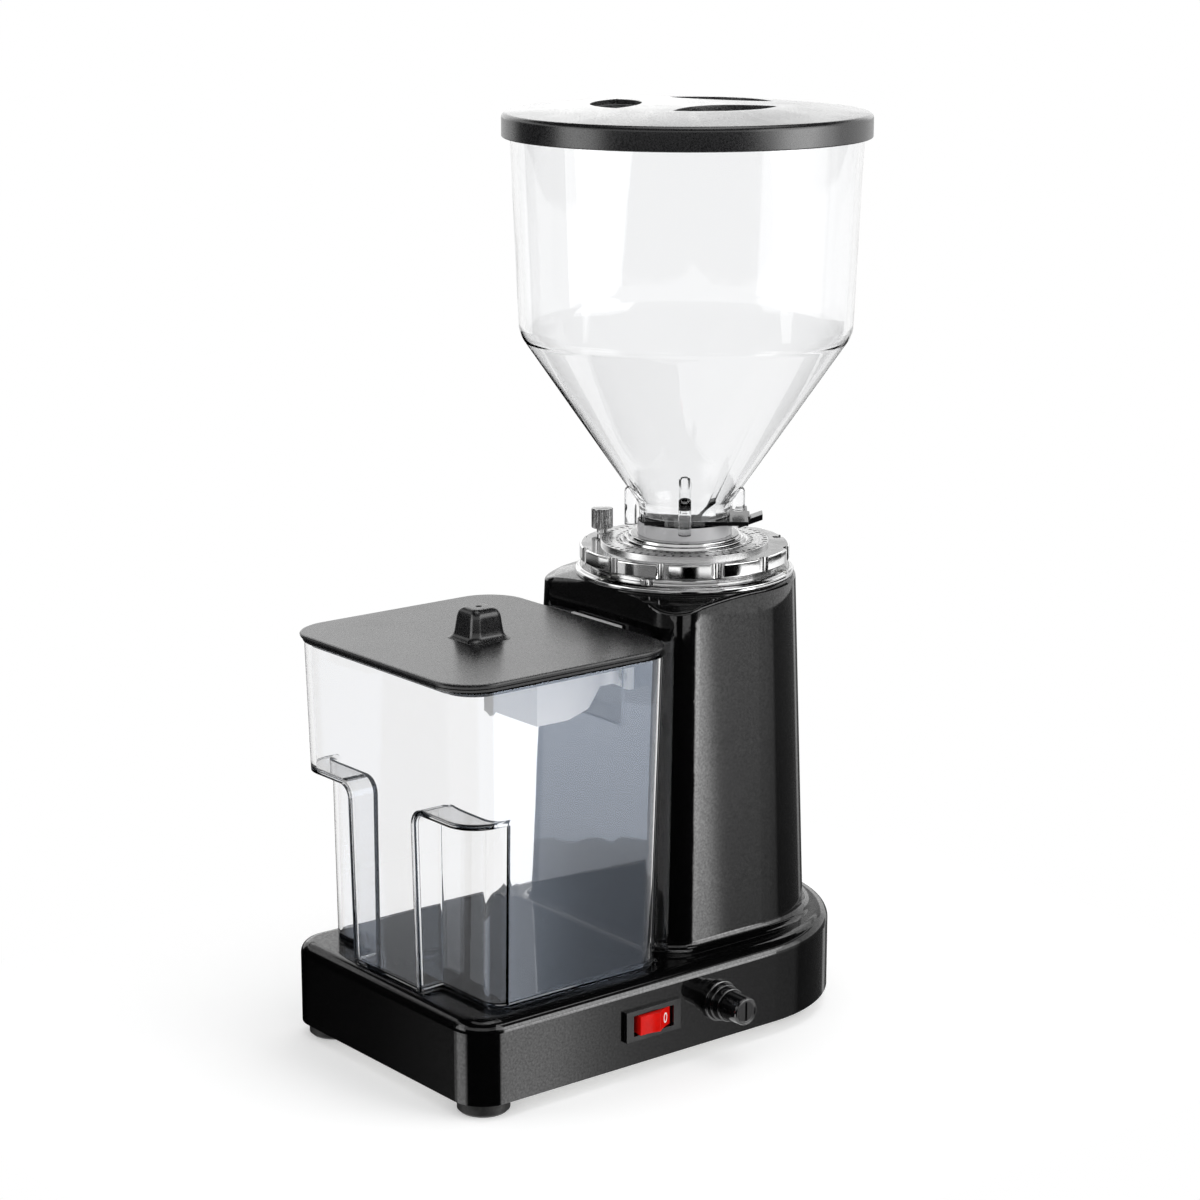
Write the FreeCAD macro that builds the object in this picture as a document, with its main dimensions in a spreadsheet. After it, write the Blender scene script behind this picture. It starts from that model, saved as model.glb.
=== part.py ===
import FreeCAD, Part
import Sketcher
import os
import re

# Burr coffee grinder: a low base with feet, a motor tower, a grinding head with an adjusting ring,
# a clear hopper with a lid and a shutter gate, and a clear catch container with a lid.
# Heights are above the floor; plan positions are from the tower's axis, front at -Y.

SIZES = {
    # place of the tower's axis in the part's frame
    "axis_x": -4.5, "axis_y": 48.5,
    # base
    "base_half": 75, "base_front": 181, "base_back": -5, "base_low": 7, "base_top": 46.5,
    "base_wall": 3, "base_roof": 3.5, "base_corner": 16, "base_edge": 6,
    "plate_gap": 0.3, "plate_low": 8, "plate_thick": 1.5,
    "foot_radius": 12, "foot_tall": 8, "foot_edge": 1.2, "foot_front_x": 59.5, "foot_front_y": -165.5,
    "foot_rear_x": 50, "foot_rear_y": 18, "boss_radius": 5, "pilot_radius": 1.5, "pilot_top": 24,
    "foot_hole": 2.1, "foot_sink": 4.4, "foot_sink_top": 3.4, "foot_head": 3.6, "foot_head_low": 1.4,
    "foot_shank": 1.5, "foot_screw_top": 22,
    "vent_radius": 40, "bolt_hole": 2.5, "bolt_shank": 2.4, "bolt_head": 4.2, "bolt_head_tall": 3,
    "bolt_top": 62, "bolt_hole_top": 64, "bolt_front_x": 42, "bolt_front_y": -42,
    "bolt_rear_x": 25.75, "bolt_rear_y": 44.6,
    # rocker switch
    "switch_y": -81.5, "switch_z": 26.4, "bezel_long": 32, "bezel_tall": 14.5, "bezel_out": 2.2,
    "switch_long": 26.6, "switch_tall": 11.6, "switch_in": 17, "well_long": 23.6, "well_tall": 9.9,
    "well_in": 11, "hole_gap": 0.2, "rocker_half": 10.4, "rocker_tall": 9.2, "rocker_pivot": 3,
    "rocker_face": 5.2, "rocker_crest": 8.5, "rocker_back": 4, "rocker_tail": 8, "rocker_rest": 10,
    "axle_radius": 1.2, "axle_half": 5.5, "axle_gap": 0.06,
    "terminal_in": 7, "terminal_wide": 4.8, "terminal_thick": 0.8, "terminal_pitch": 7,
    # fuse holder, along +X
    "fuse_y": -40.7, "fuse_z": 26.3, "fuse_flange": 9.8, "fuse_flange_out": 2, "fuse_barrel": 8.2,
    "fuse_barrel_out": 9, "fuse_body": 6.3, "fuse_body_in": 35, "fuse_bore": 2.9, "fuse_bore_in": 30,
    "fuse_hole": 6.5, "fuse_nut_radius": 9.6, "fuse_nut_thick": 5, "fuse_cap_radius": 6.9,
    "fuse_cap_in": 9.3, "fuse_cap_out": 20, "fuse_cap_edge": 1, "fuse_slot_wide": 1.2, "fuse_slot_deep": 1.2,
    "fuse_slot_long": 9, "fuse_link_radius": 2.6, "fuse_link_in": 13, "fuse_link_out": 9.3,
    # cord inlet at the rear
    "inlet_z": 26, "inlet_bore": 4, "inlet_neck": 5.4, "inlet_hole": 5.5, "inlet_flange": 8,
    "inlet_back": 70.2, "inlet_out": 3.4, "inlet_lip_front": 63, "inlet_lip_back": 66.6,
    # electrical parts in the base
    "capacitor_radius": 14, "capacitor_x": -38, "capacitor_front": -128, "capacitor_back": -78,
    "capacitor_z": 25, "clip_gap": 0.1, "clip_radius": 15.5, "clip_front": -110, "clip_back": -98,
    "clip_foot_wide": 40, "block_long": 44, "block_deep": 16, "block_tall": 14, "block_x": -2,
    "block_y": -150, "block_hole": 2.6, "block_pitch": 10,
    # tower
    "tower_half": 59, "tower_front": 57, "tower_tall": 166, "tower_draft": -2.04, "tower_corner": 16,
    "tower_bore": 47, "crown_radius": 51.5, "crown_mid_radius": 62, "crown_mid_drop": 2.6,
    "crown_low_radius": 71, "crown_low_drop": 7, "crown_far_radius": 90, "crown_far_drop": 20,
    "crown_clear": 12, "crown_edge": 2, "outlet_half": 15, "outlet_low": 172, "outlet_top": 184.6,
    # outlet chute
    "chute_half": 18, "chute_face": -52.7, "chute_lip": -54.7, "chute_lip_top": 196.6, "chute_top": 187.6,
    "chute_front": -104, "chute_low": 157, "chute_step": -86, "chute_bend": -74, "chute_bend_z": 160.5,
    "chute_heel": -67, "chute_heel_z": 170, "chute_wall": 2.4, "chute_roof": 3,
    "ear_half": 27, "ear_low": 168.5, "ear_top": 181, "ear_thick": 3.4, "ear_screw_x": 22.5,
    "ear_screw_z": 175,
    "ear_hole": 1.6, "ear_shank": 1.5, "ear_head": 2.9, "ear_head_out": 2, "ear_screw_in": 4.6,
    # motor
    "bell_radius": 46.9, "bell_inner": 43, "bell_low": 58, "bell_floor": 64, "bell_boss": 16,
    "bell_boss_top": 67,
    "bearing_outer": 11, "bearing_bore": 4.05, "bearing_low": 59, "bearing_wide": 7,
    "stack_low": 80, "stack_top": 135, "stack_inner": 34, "coil_inner": 27, "coil_outer": 42,
    "coil_low": 68, "coil_top": 147, "coil_gap": 0.2, "head_roof": 150, "head_top": 156, "head_boss": 148,
    "head_bearing_low": 149, "rotor_radius": 25.5, "rotor_low": 78, "rotor_top": 137,
    "shaft_radius": 4, "shaft_low": 48.5, "shaft_step": 180, "shaft_thread": 3, "shaft_top": 190,
    "fan_low": 48.7, "fan_disc": 1.6, "fan_hub": 8, "fan_hub_top": 56.5, "fan_radius": 38,
    "fan_blade_top": 56, "fan_blade_thick": 1.4, "fan_blade_root": 10,
    # grinding head
    "chamber_radius": 46.9, "chamber_inner": 42, "chamber_low": 157, "chamber_floor": 162, "chamber_top": 206,
    "chamber_hub": 11, "carrier_radius": 33, "carrier_low": 172, "carrier_top": 180, "carrier_hub": 9,
    "carrier_hub_low": 164, "vane_radius": 40, "vane_thick": 4,
    "burr_radius": 32, "burr_eye": 10, "burr_low": 180, "burr_top": 189, "burr_slope": 3,
    "nut_flats": 13, "nut_tall": 6, "upper_burr_low": 190.5, "upper_burr_top": 199, "upper_burr_eye": 20,
    "holder_low": 199, "holder_top": 208, "holder_radius": 35.9,
    # flange, adjusting ring and its index knob
    "flange_radius": 52.2, "flange_bore": 42, "flange_low": 212.5, "flange_top": 216, "flange_edge": 1.2,
    "flange_neck": 45, "flange_neck_top": 217.8, "flange_screw_ring": 48.6, "flange_head": 2.8,
    "flange_head_tall": 1.6, "flange_shank": 1.5, "flange_screw_low": 203,
    "pointer_ring": 48.6, "pointer_angle": -62, "pointer_radius": 2.4, "pointer_top": 218.6,
    "ring_radius": 50, "ring_low": 219, "ring_top": 226, "ring_bore": 31, "ring_skirt": 41.7,
    "ring_skirt_inner": 36, "ring_skirt_low": 200, "ring_web": 221, "notch_radius": 3.4, "notch_ring": 51.2,
    "lever_hole": 2.2, "lever_ring": 46.2, "lever_angle": 66,
    "scale_radius": 40, "scale_thick": 1.8, "collar_bore": 22, "collar_outer": 30.9, "collar_low": 208,
    "collar_neck": 26, "collar_top": 231, "collar_step": 228, "collar_shoulder": 28.5,
    "knob_ring": 44.6, "knob_angle": -157, "knob_radius": 5.2, "knob_low": 228.6, "knob_top": 238.4,
    "knob_neck": 2.6, "knob_seat": 226.4, "knob_pin": 1.5, "knob_pin_low": 219.2, "knob_hole": 1.56,
    "knob_edge": 0.6,
    # hopper and its gate and lid
    "neck_radius": 21.6, "neck_low": 212, "neck_top": 245, "hopper_wall": 3, "cone_radius": 78.3,
    "cone_top": 327, "rim_radius": 82.4, "rim_top": 426, "post_ring": 25.6, "post_radius": 3,
    "post_low": 234.5, "post_top": 253.5, "gate_angle": 50, "gate_low": 238, "gate_thick": 2,
    "gate_half": 19, "gate_in": 19, "gate_out": 30, "gate_gap": 0.4, "slot_out": 26,
    "tongue_half": 6.5, "tongue_out": 31, "handle_half": 5, "handle_in": 25.5, "handle_out": 37,
    "handle_low": 233.8, "handle_rise": 4.2, "handle_thick": 2.8,
    "lid_radius": 86, "lid_low": 418.5, "lid_inner": 83.2, "lid_edge_z": 428.4, "lid_edge_radius": 84.6,
    "lid_edge_top": 430, "lid_mid_radius": 50, "lid_mid_top": 433, "lid_top": 434.4, "lid_roof": 2.6,
    "slot_ring": 33, "leaf_half_long": 27.5, "leaf_half_wide": 12,
    # catch container and its lid
    "can_half": 65, "can_front": 176, "can_rear": 63.5, "can_low": 46.8, "can_top": 194, "can_draft": 1.3,
    "can_corner": 15, "can_wall": 2.6, "can_floor": 3, "block_half": 26, "grip_back": 163, "grip_top": 132,
    "window_half": 29, "window_low": 153, "recess_corner": 5,
    "cover_half": 69.5, "cover_front": 183, "cover_rear": 59.6, "cover_low": 194.3, "cover_thick": 4.2,
    "cover_corner": 20, "cover_edge": 1.2, "plug_half": 64.5, "plug_front": 175.5, "plug_rear": 64.5,
    "plug_deep": 2.4, "plug_wall": 2, "plug_corner": 13,
    "grip_y": -122, "grip_half": 9.3, "grip_tall": 14.6, "grip_draft": -5,
    "grip_edge": 2,
}

doc = FreeCAD.newDocument("burr_coffee_grinder")
sheet = doc.addObject("Spreadsheet::Sheet", "Size")
for row, (alias, value) in enumerate(SIZES.items(), 1):
    sheet.set(f"A{row}", alias)
    sheet.set(f"B{row}", str(value))
    sheet.setAlias(f"B{row}", alias)
doc.recompute()

nodes = []

SLIGHT = 0.01


def formula(text):
    """Write plain size names as references into the sheet."""
    def refer(match):
        word = match.group()
        return f"Size.{word}" if word in SIZES else word
    return re.sub(r"[a-z][a-z0-9_]*", refer, str(text))


def value_of(text):
    return float(sheet.evalExpression(formula(text)))


def bind(thing, **formulas):
    for name, text in formulas.items():
        thing.setExpression(name.replace("__", "."), formula(text))


def keep(label, thing, at=("0", "0", "0")):
    """Name a finished piece and stand it in the part's frame."""
    thing.Label = label
    bind(thing, Placement__Base__x=f"axis_x + ({at[0]})", Placement__Base__y=f"axis_y + ({at[1]})",
         Placement__Base__z=at[2])
    nodes.append(thing)
    return thing


# Sketched bodies

def new_body(name):
    return doc.addObject("PartDesign::Body", name)


def new_sketch(body, plane, lift="0"):
    sketch = body.newObject("Sketcher::SketchObject", body.Name + "_sketch")
    support = next(item for item in body.Origin.OriginFeatures if item.Role == plane)
    sketch.AttachmentSupport = (support, [""])
    sketch.MapMode = "FlatFace"
    bind(sketch, AttachmentOffset__Base__z=lift)
    return sketch


def hold(sketch, kind, geometry, point, text):
    """Fix one coordinate of a sketch point to a size."""
    if text == "0":
        axis = -2 if kind == "DistanceX" else -1
        sketch.addConstraint(Sketcher.Constraint("PointOnObject", geometry, point, axis))
        return
    rule = Sketcher.Constraint(kind, -1, 1, geometry, point, value_of(text))
    number = sketch.addConstraint(rule)
    sketch.setExpression(f"Constraints[{number}]", formula(text))


def polygon(sketch, corners):
    points = [FreeCAD.Vector(value_of(across), value_of(along), 0) for across, along in corners]
    first = sketch.GeometryCount
    count = len(points)
    for index in range(count):
        line = Part.LineSegment(points[index], points[(index + 1) % count])
        sketch.addGeometry(line, False)
    for index in range(count):
        following = first + (index + 1) % count
        sketch.addConstraint(Sketcher.Constraint("Coincident", first + index, 2, following, 1))
    for index, (across, along) in enumerate(corners):
        hold(sketch, "DistanceX", first + index, 1, across)
        hold(sketch, "DistanceY", first + index, 1, along)


def circle(sketch, radius, across="0", along="0"):
    centre = FreeCAD.Vector(value_of(across), value_of(along), 0)
    shape = Part.Circle(centre, FreeCAD.Vector(0, 0, 1), value_of(radius))
    number = sketch.addGeometry(shape, False)
    rule = sketch.addConstraint(Sketcher.Constraint("Radius", number, value_of(radius)))
    sketch.setExpression(f"Constraints[{rule}]", formula(radius))
    hold(sketch, "DistanceX", number, 3, across)
    hold(sketch, "DistanceY", number, 3, along)


def rectangle(sketch, left, right, front, back):
    polygon(sketch, [(left, front), (right, front), (right, back), (left, back)])


def round_ended(sketch, half, front, centre):
    """Square front, half-round back: the plan of the base and of the tower."""
    radius = value_of(half)
    middle = value_of(centre)
    near = -value_of(front)
    corner = [FreeCAD.Vector(side * radius, along, 0) for side, along in
              ((-1, middle), (-1, near), (1, near), (1, middle))]
    for index in range(3):
        sketch.addGeometry(Part.LineSegment(corner[index], corner[index + 1]), False)
    ring = Part.Circle(FreeCAD.Vector(0, middle, 0), FreeCAD.Vector(0, 0, 1), radius)
    half_turn = FreeCAD.Units.parseQuantity("180 deg").getValueAs("rad").Value
    sketch.addGeometry(Part.Arc(ring, 0, half_turn), False)
    for first, second in ((0, 1), (1, 2), (2, 3), (3, 0)):
        sketch.addConstraint(Sketcher.Constraint("Coincident", first, 2, second, 1))
    sketch.addConstraint(Sketcher.Constraint("Vertical", 0))
    sketch.addConstraint(Sketcher.Constraint("Horizontal", 1))
    sketch.addConstraint(Sketcher.Constraint("Vertical", 2))
    hold(sketch, "DistanceX", 0, 1, f"-({half})")
    hold(sketch, "DistanceY", 0, 1, centre)
    hold(sketch, "DistanceY", 1, 1, f"-({front})")
    hold(sketch, "DistanceY", 2, 2, centre)
    hold(sketch, "DistanceX", 3, 3, "0")
    hold(sketch, "DistanceY", 3, 3, centre)


def pad(body, sketch, length, draft="0", both=False):
    feature = body.newObject("PartDesign::Pad", body.Name + "_pad")
    feature.Profile = sketch
    feature.Midplane = both
    bind(feature, Length=length, TaperAngle=draft)
    doc.recompute()
    return feature


def pocket(body, sketch, length, backward=False):
    before = body.Shape.Volume
    feature = body.newObject("PartDesign::Pocket", body.Name + "_pocket")
    feature.Profile = sketch
    feature.Reversed = backward
    bind(feature, Length=length)
    doc.recompute()
    if body.Shape.Volume >= before:
        raise RuntimeError(f"{body.Name}: a pocket cut nothing")
    return feature


def soften(body, radius, choose):
    """Round the edges of the body's last feature that the test picks."""
    last = body.Tip
    picked = [f"Edge{number}" for number, edge in enumerate(last.Shape.Edges, 1) if choose(edge)]
    feature = body.newObject("PartDesign::Fillet", body.Name + "_fillet")
    feature.Base = (last, picked)
    bind(feature, Radius=radius)
    doc.recompute()
    return feature


def upright(edge):
    box = edge.BoundBox
    return box.ZLength > max(box.XLength, box.YLength) * 3


def turned(label, corners, along=None):
    """A round piece: a profile of (radius, height) corners swept about its own axis."""
    body = new_body(label)
    sketch = new_sketch(body, "XZ_Plane")
    polygon(sketch, corners)
    feature = body.newObject("PartDesign::Revolution", label + "_revolution")
    feature.Profile = sketch
    feature.ReferenceAxis = (sketch, ["V_Axis"])
    feature.Angle = 360
    if along is not None:
        body.Placement = FreeCAD.Placement(FreeCAD.Vector(), FreeCAD.Rotation(FreeCAD.Vector(0, 0, 1), along))
    doc.recompute()
    return body


def turned_node(label, corners, at=("0", "0", "0"), along=None):
    return keep(label, turned(label, corners, along=along), at)


# Plain solids used as cutters and additions

def cylinder(radius, tall, at, along=None):
    solid = doc.addObject("Part::Cylinder", "cutter")
    if along is not None:
        solid.Placement = FreeCAD.Placement(FreeCAD.Vector(),
                                            FreeCAD.Rotation(FreeCAD.Vector(0, 0, 1), along))
    bind(solid, Radius=radius, Height=tall, Placement__Base__x=at[0], Placement__Base__y=at[1],
         Placement__Base__z=at[2])
    return solid


def block(low, high, spin=None):
    solid = doc.addObject("Part::Box", "cutter")
    sides = [f"({far}) - ({near})" for near, far in zip(low, high)]
    bind(solid, Length=sides[0], Width=sides[1], Height=sides[2])
    if spin is None:
        bind(solid, Placement__Base__x=low[0], Placement__Base__y=low[1], Placement__Base__z=low[2])
        return solid
    # turned about the tower's axis
    solid.Placement = FreeCAD.Placement(FreeCAD.Vector(),
                                        FreeCAD.Rotation(FreeCAD.Vector(0, 0, 1), value_of(spin)))
    bind(solid, Placement__Base__x=f"({low[0]}) * cos({spin}) - ({low[1]}) * sin({spin})",
         Placement__Base__y=f"({low[0]}) * sin({spin}) + ({low[1]}) * cos({spin})",
         Placement__Base__z=low[2])
    return solid


def joined(solids):
    if len(solids) == 1:
        return solids[0]
    group = doc.addObject("Part::MultiFuse", "group")
    group.Shapes = solids
    return group


def cut(base, tools):
    result = doc.addObject("Part::Cut", "cut")
    result.Base = base
    result.Tool = joined(tools)
    doc.recompute()
    return result


def fuse(solids):
    result = joined(solids)
    result.Refine = True
    doc.recompute()
    return result


def on_circle(ring, angle):
    return (f"{ring} * cos({angle})", f"{ring} * sin({angle})")


TO_X = FreeCAD.Vector(1, 0, 0)
TO_Y = FreeCAD.Vector(0, 1, 0)
TO_FRONT = FreeCAD.Vector(0, -1, 0)
FEET = {
    "front_left": ("-foot_front_x", "foot_front_y"), "front_right": ("foot_front_x", "foot_front_y"),
    "rear_left": ("-foot_rear_x", "foot_rear_y"), "rear_right": ("foot_rear_x", "foot_rear_y"),
}
BOLTS = {
    "front_left": ("-bolt_front_x", "bolt_front_y"), "front_right": ("bolt_front_x", "bolt_front_y"),
    "rear_left": ("-bolt_rear_x", "bolt_rear_y"), "rear_right": ("bolt_rear_x", "bolt_rear_y"),
}

# Base: a hollow shell, round at the back, with bosses for the feet
shell = new_body("base_form")
plan = new_sketch(shell, "XY_Plane", "base_low")
round_ended(plan, "base_half", "base_front", "base_back")
pad(shell, plan, "base_top - base_low")
soften(shell, "base_corner", lambda edge: upright(edge) and edge.BoundBox.YMax < -value_of("tower_front"))
soften(shell, "base_edge", lambda edge: edge.BoundBox.ZMin > value_of("base_top") - SLIGHT)
hollow = new_body("base_hollow")
plan = new_sketch(hollow, "XY_Plane", "base_low - base_wall")
round_ended(plan, "base_half - base_wall", "base_front - base_wall", "base_back")
pad(hollow, plan, "base_top - base_roof - base_low + base_wall")
soften(hollow, "base_corner - base_wall", lambda edge: upright(edge)
       and edge.BoundBox.YMax < -value_of("tower_front"))
bosses = [cylinder("boss_radius", "base_top - plate_low - plate_thick - base_roof / 2",
                   (x, y, "plate_low + plate_thick"))
          for x, y in FEET.values()]
base_holes = [cylinder("pilot_radius", "pilot_top - plate_low", (x, y, "plate_low"))
              for x, y in FEET.values()]
base_holes += [cylinder("bolt_hole", "base_roof * 3", (x, y, "base_top - base_roof * 2"))
               for x, y in BOLTS.values()]
base_holes.append(cylinder("vent_radius", "base_roof * 3", ("0", "0", "base_top - base_roof * 2")))
base_holes.append(block(
    ("base_half - base_wall * 2", "switch_y - switch_long / 2 - hole_gap",
     "switch_z - switch_tall / 2 - hole_gap"),
    ("base_half + base_wall", "switch_y + switch_long / 2 + hole_gap",
     "switch_z + switch_tall / 2 + hole_gap")))
base_holes.append(cylinder("fuse_hole", "base_wall * 3",
                           ("base_half - base_wall * 2", "fuse_y", "fuse_z"), TO_X))
base_holes.append(cylinder("inlet_hole", "base_wall * 5",
                           ("0", "base_half + base_back - base_wall * 3", "inlet_z"), TO_Y))
keep("base_shell", cut(fuse([cut(shell, [hollow])] + bosses), base_holes))

bottom = new_body("plate_form")
plan = new_sketch(bottom, "XY_Plane", "plate_low")
round_ended(plan, "base_half - base_wall - plate_gap", "base_front - base_wall - plate_gap", "base_back")
pad(bottom, plan, "plate_thick")
soften(bottom, "base_corner - base_wall", lambda edge: upright(edge)
       and edge.BoundBox.YMax < -value_of("tower_front"))
keep("base_plate", cut(bottom, [cylinder("foot_hole", "plate_thick * 3", (x, y, "plate_low - plate_thick"))
                                for x, y in FEET.values()]))

for corner, (x, y) in FEET.items():
    turned_node("foot_" + corner, [
        ("foot_sink", "0"), ("foot_radius - foot_edge", "0"), ("foot_radius", "foot_edge"),
        ("foot_radius", "foot_tall"), ("foot_hole", "foot_tall"), ("foot_hole", "foot_sink_top"),
        ("foot_sink", "foot_sink_top")], (x, y, "0"))
    turned_node("foot_screw_" + corner, [
        ("0", "foot_head_low"), ("foot_head", "foot_head_low"), ("foot_head", "foot_sink_top"),
        ("foot_shank", "foot_sink_top"), ("foot_shank", "foot_screw_top"), ("0", "foot_screw_top")],
        (x, y, "0"))

# Rocker switch in the right-hand wall
frame_plate = block(("base_half", "switch_y - bezel_long / 2", "switch_z - bezel_tall / 2"),
                    ("base_half + bezel_out", "switch_y + bezel_long / 2", "switch_z + bezel_tall / 2"))
switch_can = block(("base_half - switch_in", "switch_y - switch_long / 2", "switch_z - switch_tall / 2"),
                   ("base_half", "switch_y + switch_long / 2", "switch_z + switch_tall / 2"))
tabs = [block(("base_half - switch_in - terminal_in",
               f"switch_y + {step} * terminal_pitch - terminal_thick / 2",
               "switch_z - terminal_wide / 2"),
              ("base_half - switch_in", f"switch_y + {step} * terminal_pitch + terminal_thick / 2",
               "switch_z + terminal_wide / 2")) for step in (-1, 0, 1)]
well = block(("base_half - well_in", "switch_y - well_long / 2", "switch_z - well_tall / 2"),
             ("base_half + bezel_out * 2", "switch_y + well_long / 2", "switch_z + well_tall / 2"))
ROCKER = ("base_half - rocker_pivot", "switch_y", "switch_z")
axle_hole = cylinder("axle_radius + axle_gap", "(axle_half + axle_gap) * 2",
                     ("base_half - rocker_pivot", "switch_y", "switch_z - axle_half - axle_gap"))
keep("switch_bezel", cut(fuse([frame_plate, switch_can] + tabs), [well, axle_hole]))

rocker = new_body("rocker_form")
plan = new_sketch(rocker, "XY_Plane")
polygon(plan, [("rocker_face", "-rocker_half"), ("rocker_crest", "0"), ("rocker_face", "rocker_half"),
               ("-rocker_back", "rocker_tail"), ("-rocker_back", "-rocker_tail")])
pad(rocker, plan, "rocker_tall", both=True)
tilt = FreeCAD.Rotation(FreeCAD.Vector(0, 0, 1), value_of("rocker_rest"))
rocker.Placement = FreeCAD.Placement(FreeCAD.Vector(), tilt)
axle = cylinder("axle_radius", "axle_half * 2", ("0", "0", "-axle_half"))
keep("switch_rocker", fuse([rocker, axle]), ROCKER)

# Fuse holder through the right-hand wall
FUSE = ("base_half", "fuse_y", "fuse_z")
turned_node("fuse_holder", [
    ("0", "-fuse_body_in"), ("fuse_body", "-fuse_body_in"), ("fuse_body", "0"), ("fuse_flange", "0"),
    ("fuse_flange", "fuse_flange_out"), ("fuse_barrel", "fuse_flange_out"),
    ("fuse_barrel", "fuse_barrel_out"),
    ("fuse_bore", "fuse_barrel_out"), ("fuse_bore", "-fuse_bore_in"), ("0", "-fuse_bore_in")], FUSE, TO_X)
turned_node("fuse_holder_nut", [
    ("fuse_body", "-base_wall - fuse_nut_thick"), ("fuse_nut_radius", "-base_wall - fuse_nut_thick"),
    ("fuse_nut_radius", "-base_wall"), ("fuse_body", "-base_wall")], FUSE, TO_X)
turned_node("fuse_link", [
    ("0", "-fuse_link_in"), ("fuse_link_radius", "-fuse_link_in"),
    ("fuse_link_radius", "fuse_link_out - hole_gap"),
    ("0", "fuse_link_out - hole_gap")], FUSE, TO_X)
cap = turned("fuse_cap_form", [
    ("0", "fuse_cap_in"), ("fuse_cap_radius", "fuse_cap_in"),
    ("fuse_cap_radius", "fuse_cap_out - fuse_cap_edge"),
    ("fuse_cap_radius - fuse_cap_edge", "fuse_cap_out"), ("0", "fuse_cap_out")], along=TO_X)
slot = block(("fuse_cap_out - fuse_slot_deep", "-fuse_slot_wide / 2", "-fuse_slot_long / 2"),
             ("fuse_cap_out + fuse_slot_deep", "fuse_slot_wide / 2", "fuse_slot_long / 2"))
keep("fuse_cap", cut(cap, [slot]), FUSE)

turned_node("cord_grommet", [
    ("inlet_bore", "inlet_lip_front"), ("inlet_flange", "inlet_lip_front"),
    ("inlet_flange", "inlet_lip_back - base_wall"),
    ("inlet_neck", "inlet_lip_back - base_wall"), ("inlet_neck", "inlet_back"),
    ("inlet_flange", "inlet_back"),
    ("inlet_flange - foot_edge", "inlet_back + inlet_out"), ("inlet_bore", "inlet_back + inlet_out")],
    ("0", "0", "inlet_z"), TO_Y)

# Electrical parts under the roof of the base
turned_node("run_capacitor", [
    ("0", "capacitor_front"), ("capacitor_radius", "capacitor_front"), ("capacitor_radius", "capacitor_back"),
    ("0", "capacitor_back")], ("capacitor_x", "0", "capacitor_z"), TO_Y)
strap = cylinder("clip_radius", "clip_back - clip_front", ("0", "clip_front", "0"), TO_Y)
strap_foot = block(("-clip_foot_wide / 2", "clip_front", "plate_low + plate_thick - capacitor_z"),
                   ("clip_foot_wide / 2", "clip_back", "plate_low + plate_thick * 2 - capacitor_z"))
strap_hole = cylinder("capacitor_radius + clip_gap", "(clip_back - clip_front) * 3",
                      ("0", "clip_front * 2 - clip_back", "0"), TO_Y)
strap_floor = block(("-clip_foot_wide", "clip_front - clip_radius", "-clip_radius * 2"),
                    ("clip_foot_wide", "clip_back + clip_radius", "plate_low + plate_thick - capacitor_z"))
keep("capacitor_clip", cut(fuse([strap, strap_foot]), [strap_hole, strap_floor]),
     ("capacitor_x", "0", "capacitor_z"))
terminal_body = block(("block_x - block_long / 2", "block_y", "plate_low + plate_thick"),
                      ("block_x + block_long / 2", "block_y + block_deep",
                       "plate_low + plate_thick + block_tall"))
terminal_holes = [cylinder("block_hole", "block_deep * 3",
                           (f"block_x + ({step}) * block_pitch", "block_y - block_deep",
                                                          "plate_low + plate_thick + block_tall / 2"), TO_Y)
                  for step in (-1.5, -0.5, 0.5, 1.5)]
keep("terminal_block", cut(terminal_body, terminal_holes))

# Tower: drafted column with a square front and a round back, bored out for the motor and the grinding head
column = new_body("tower_form")
plan = new_sketch(column, "XY_Plane", "base_top")
round_ended(plan, "tower_half", "tower_front", "0")
pad(column, plan, "tower_tall", "tower_draft")
soften(column, "tower_corner", lambda edge: upright(edge)
       and edge.BoundBox.YMax < -value_of("tower_front") / 2)
crown = new_sketch(column, "XZ_Plane")
CROWN = "base_top + tower_tall"
polygon(crown, [
    ("crown_radius", CROWN), ("crown_mid_radius", CROWN + " - crown_mid_drop"),
    ("crown_low_radius", CROWN + " - crown_low_drop"), ("crown_far_radius", CROWN + " - crown_far_drop"),
    ("crown_far_radius", CROWN + " + crown_clear"), ("crown_radius", CROWN + " + crown_clear")])
groove = column.newObject("PartDesign::Groove", "tower_shoulder")
groove.Profile = crown
groove.ReferenceAxis = (crown, ["V_Axis"])
groove.Angle = 360
doc.recompute()
soften(column, "crown_edge", lambda edge: edge.BoundBox.ZMax < value_of(CROWN) - SLIGHT
       and edge.BoundBox.ZMin > value_of("outlet_top") and not upright(edge))
bore = new_sketch(column, "XY_Plane", "base_top - base_wall")
circle(bore, "tower_bore")
pocket(column, bore, "tower_tall + base_wall * 3", backward=True)
tower_holes = [cylinder("bolt_hole", "bolt_hole_top - base_top + base_wall", (x, y, "base_top - base_wall"))
               for x, y in BOLTS.values()]
tower_holes.append(block(("-outlet_half", "-tower_front * 2", "outlet_low"),
                         ("outlet_half", "-tower_bore / 2", "outlet_top")))
tower_holes += [cylinder("ear_hole", "ear_screw_in * 3",
                         (x, "chute_face + ear_screw_in + hole_gap", "ear_screw_z"), TO_FRONT)
                for x in ("-ear_screw_x", "ear_screw_x")]
SCREW_ANGLES = (30, 150, 270)
tower_holes += [cylinder("flange_shank", "flange_low - flange_screw_low + base_wall",
                         on_circle("flange_screw_ring", angle) + ("flange_screw_low",))
                         for angle in SCREW_ANGLES]
keep("tower_housing", cut(column, tower_holes))

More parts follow.
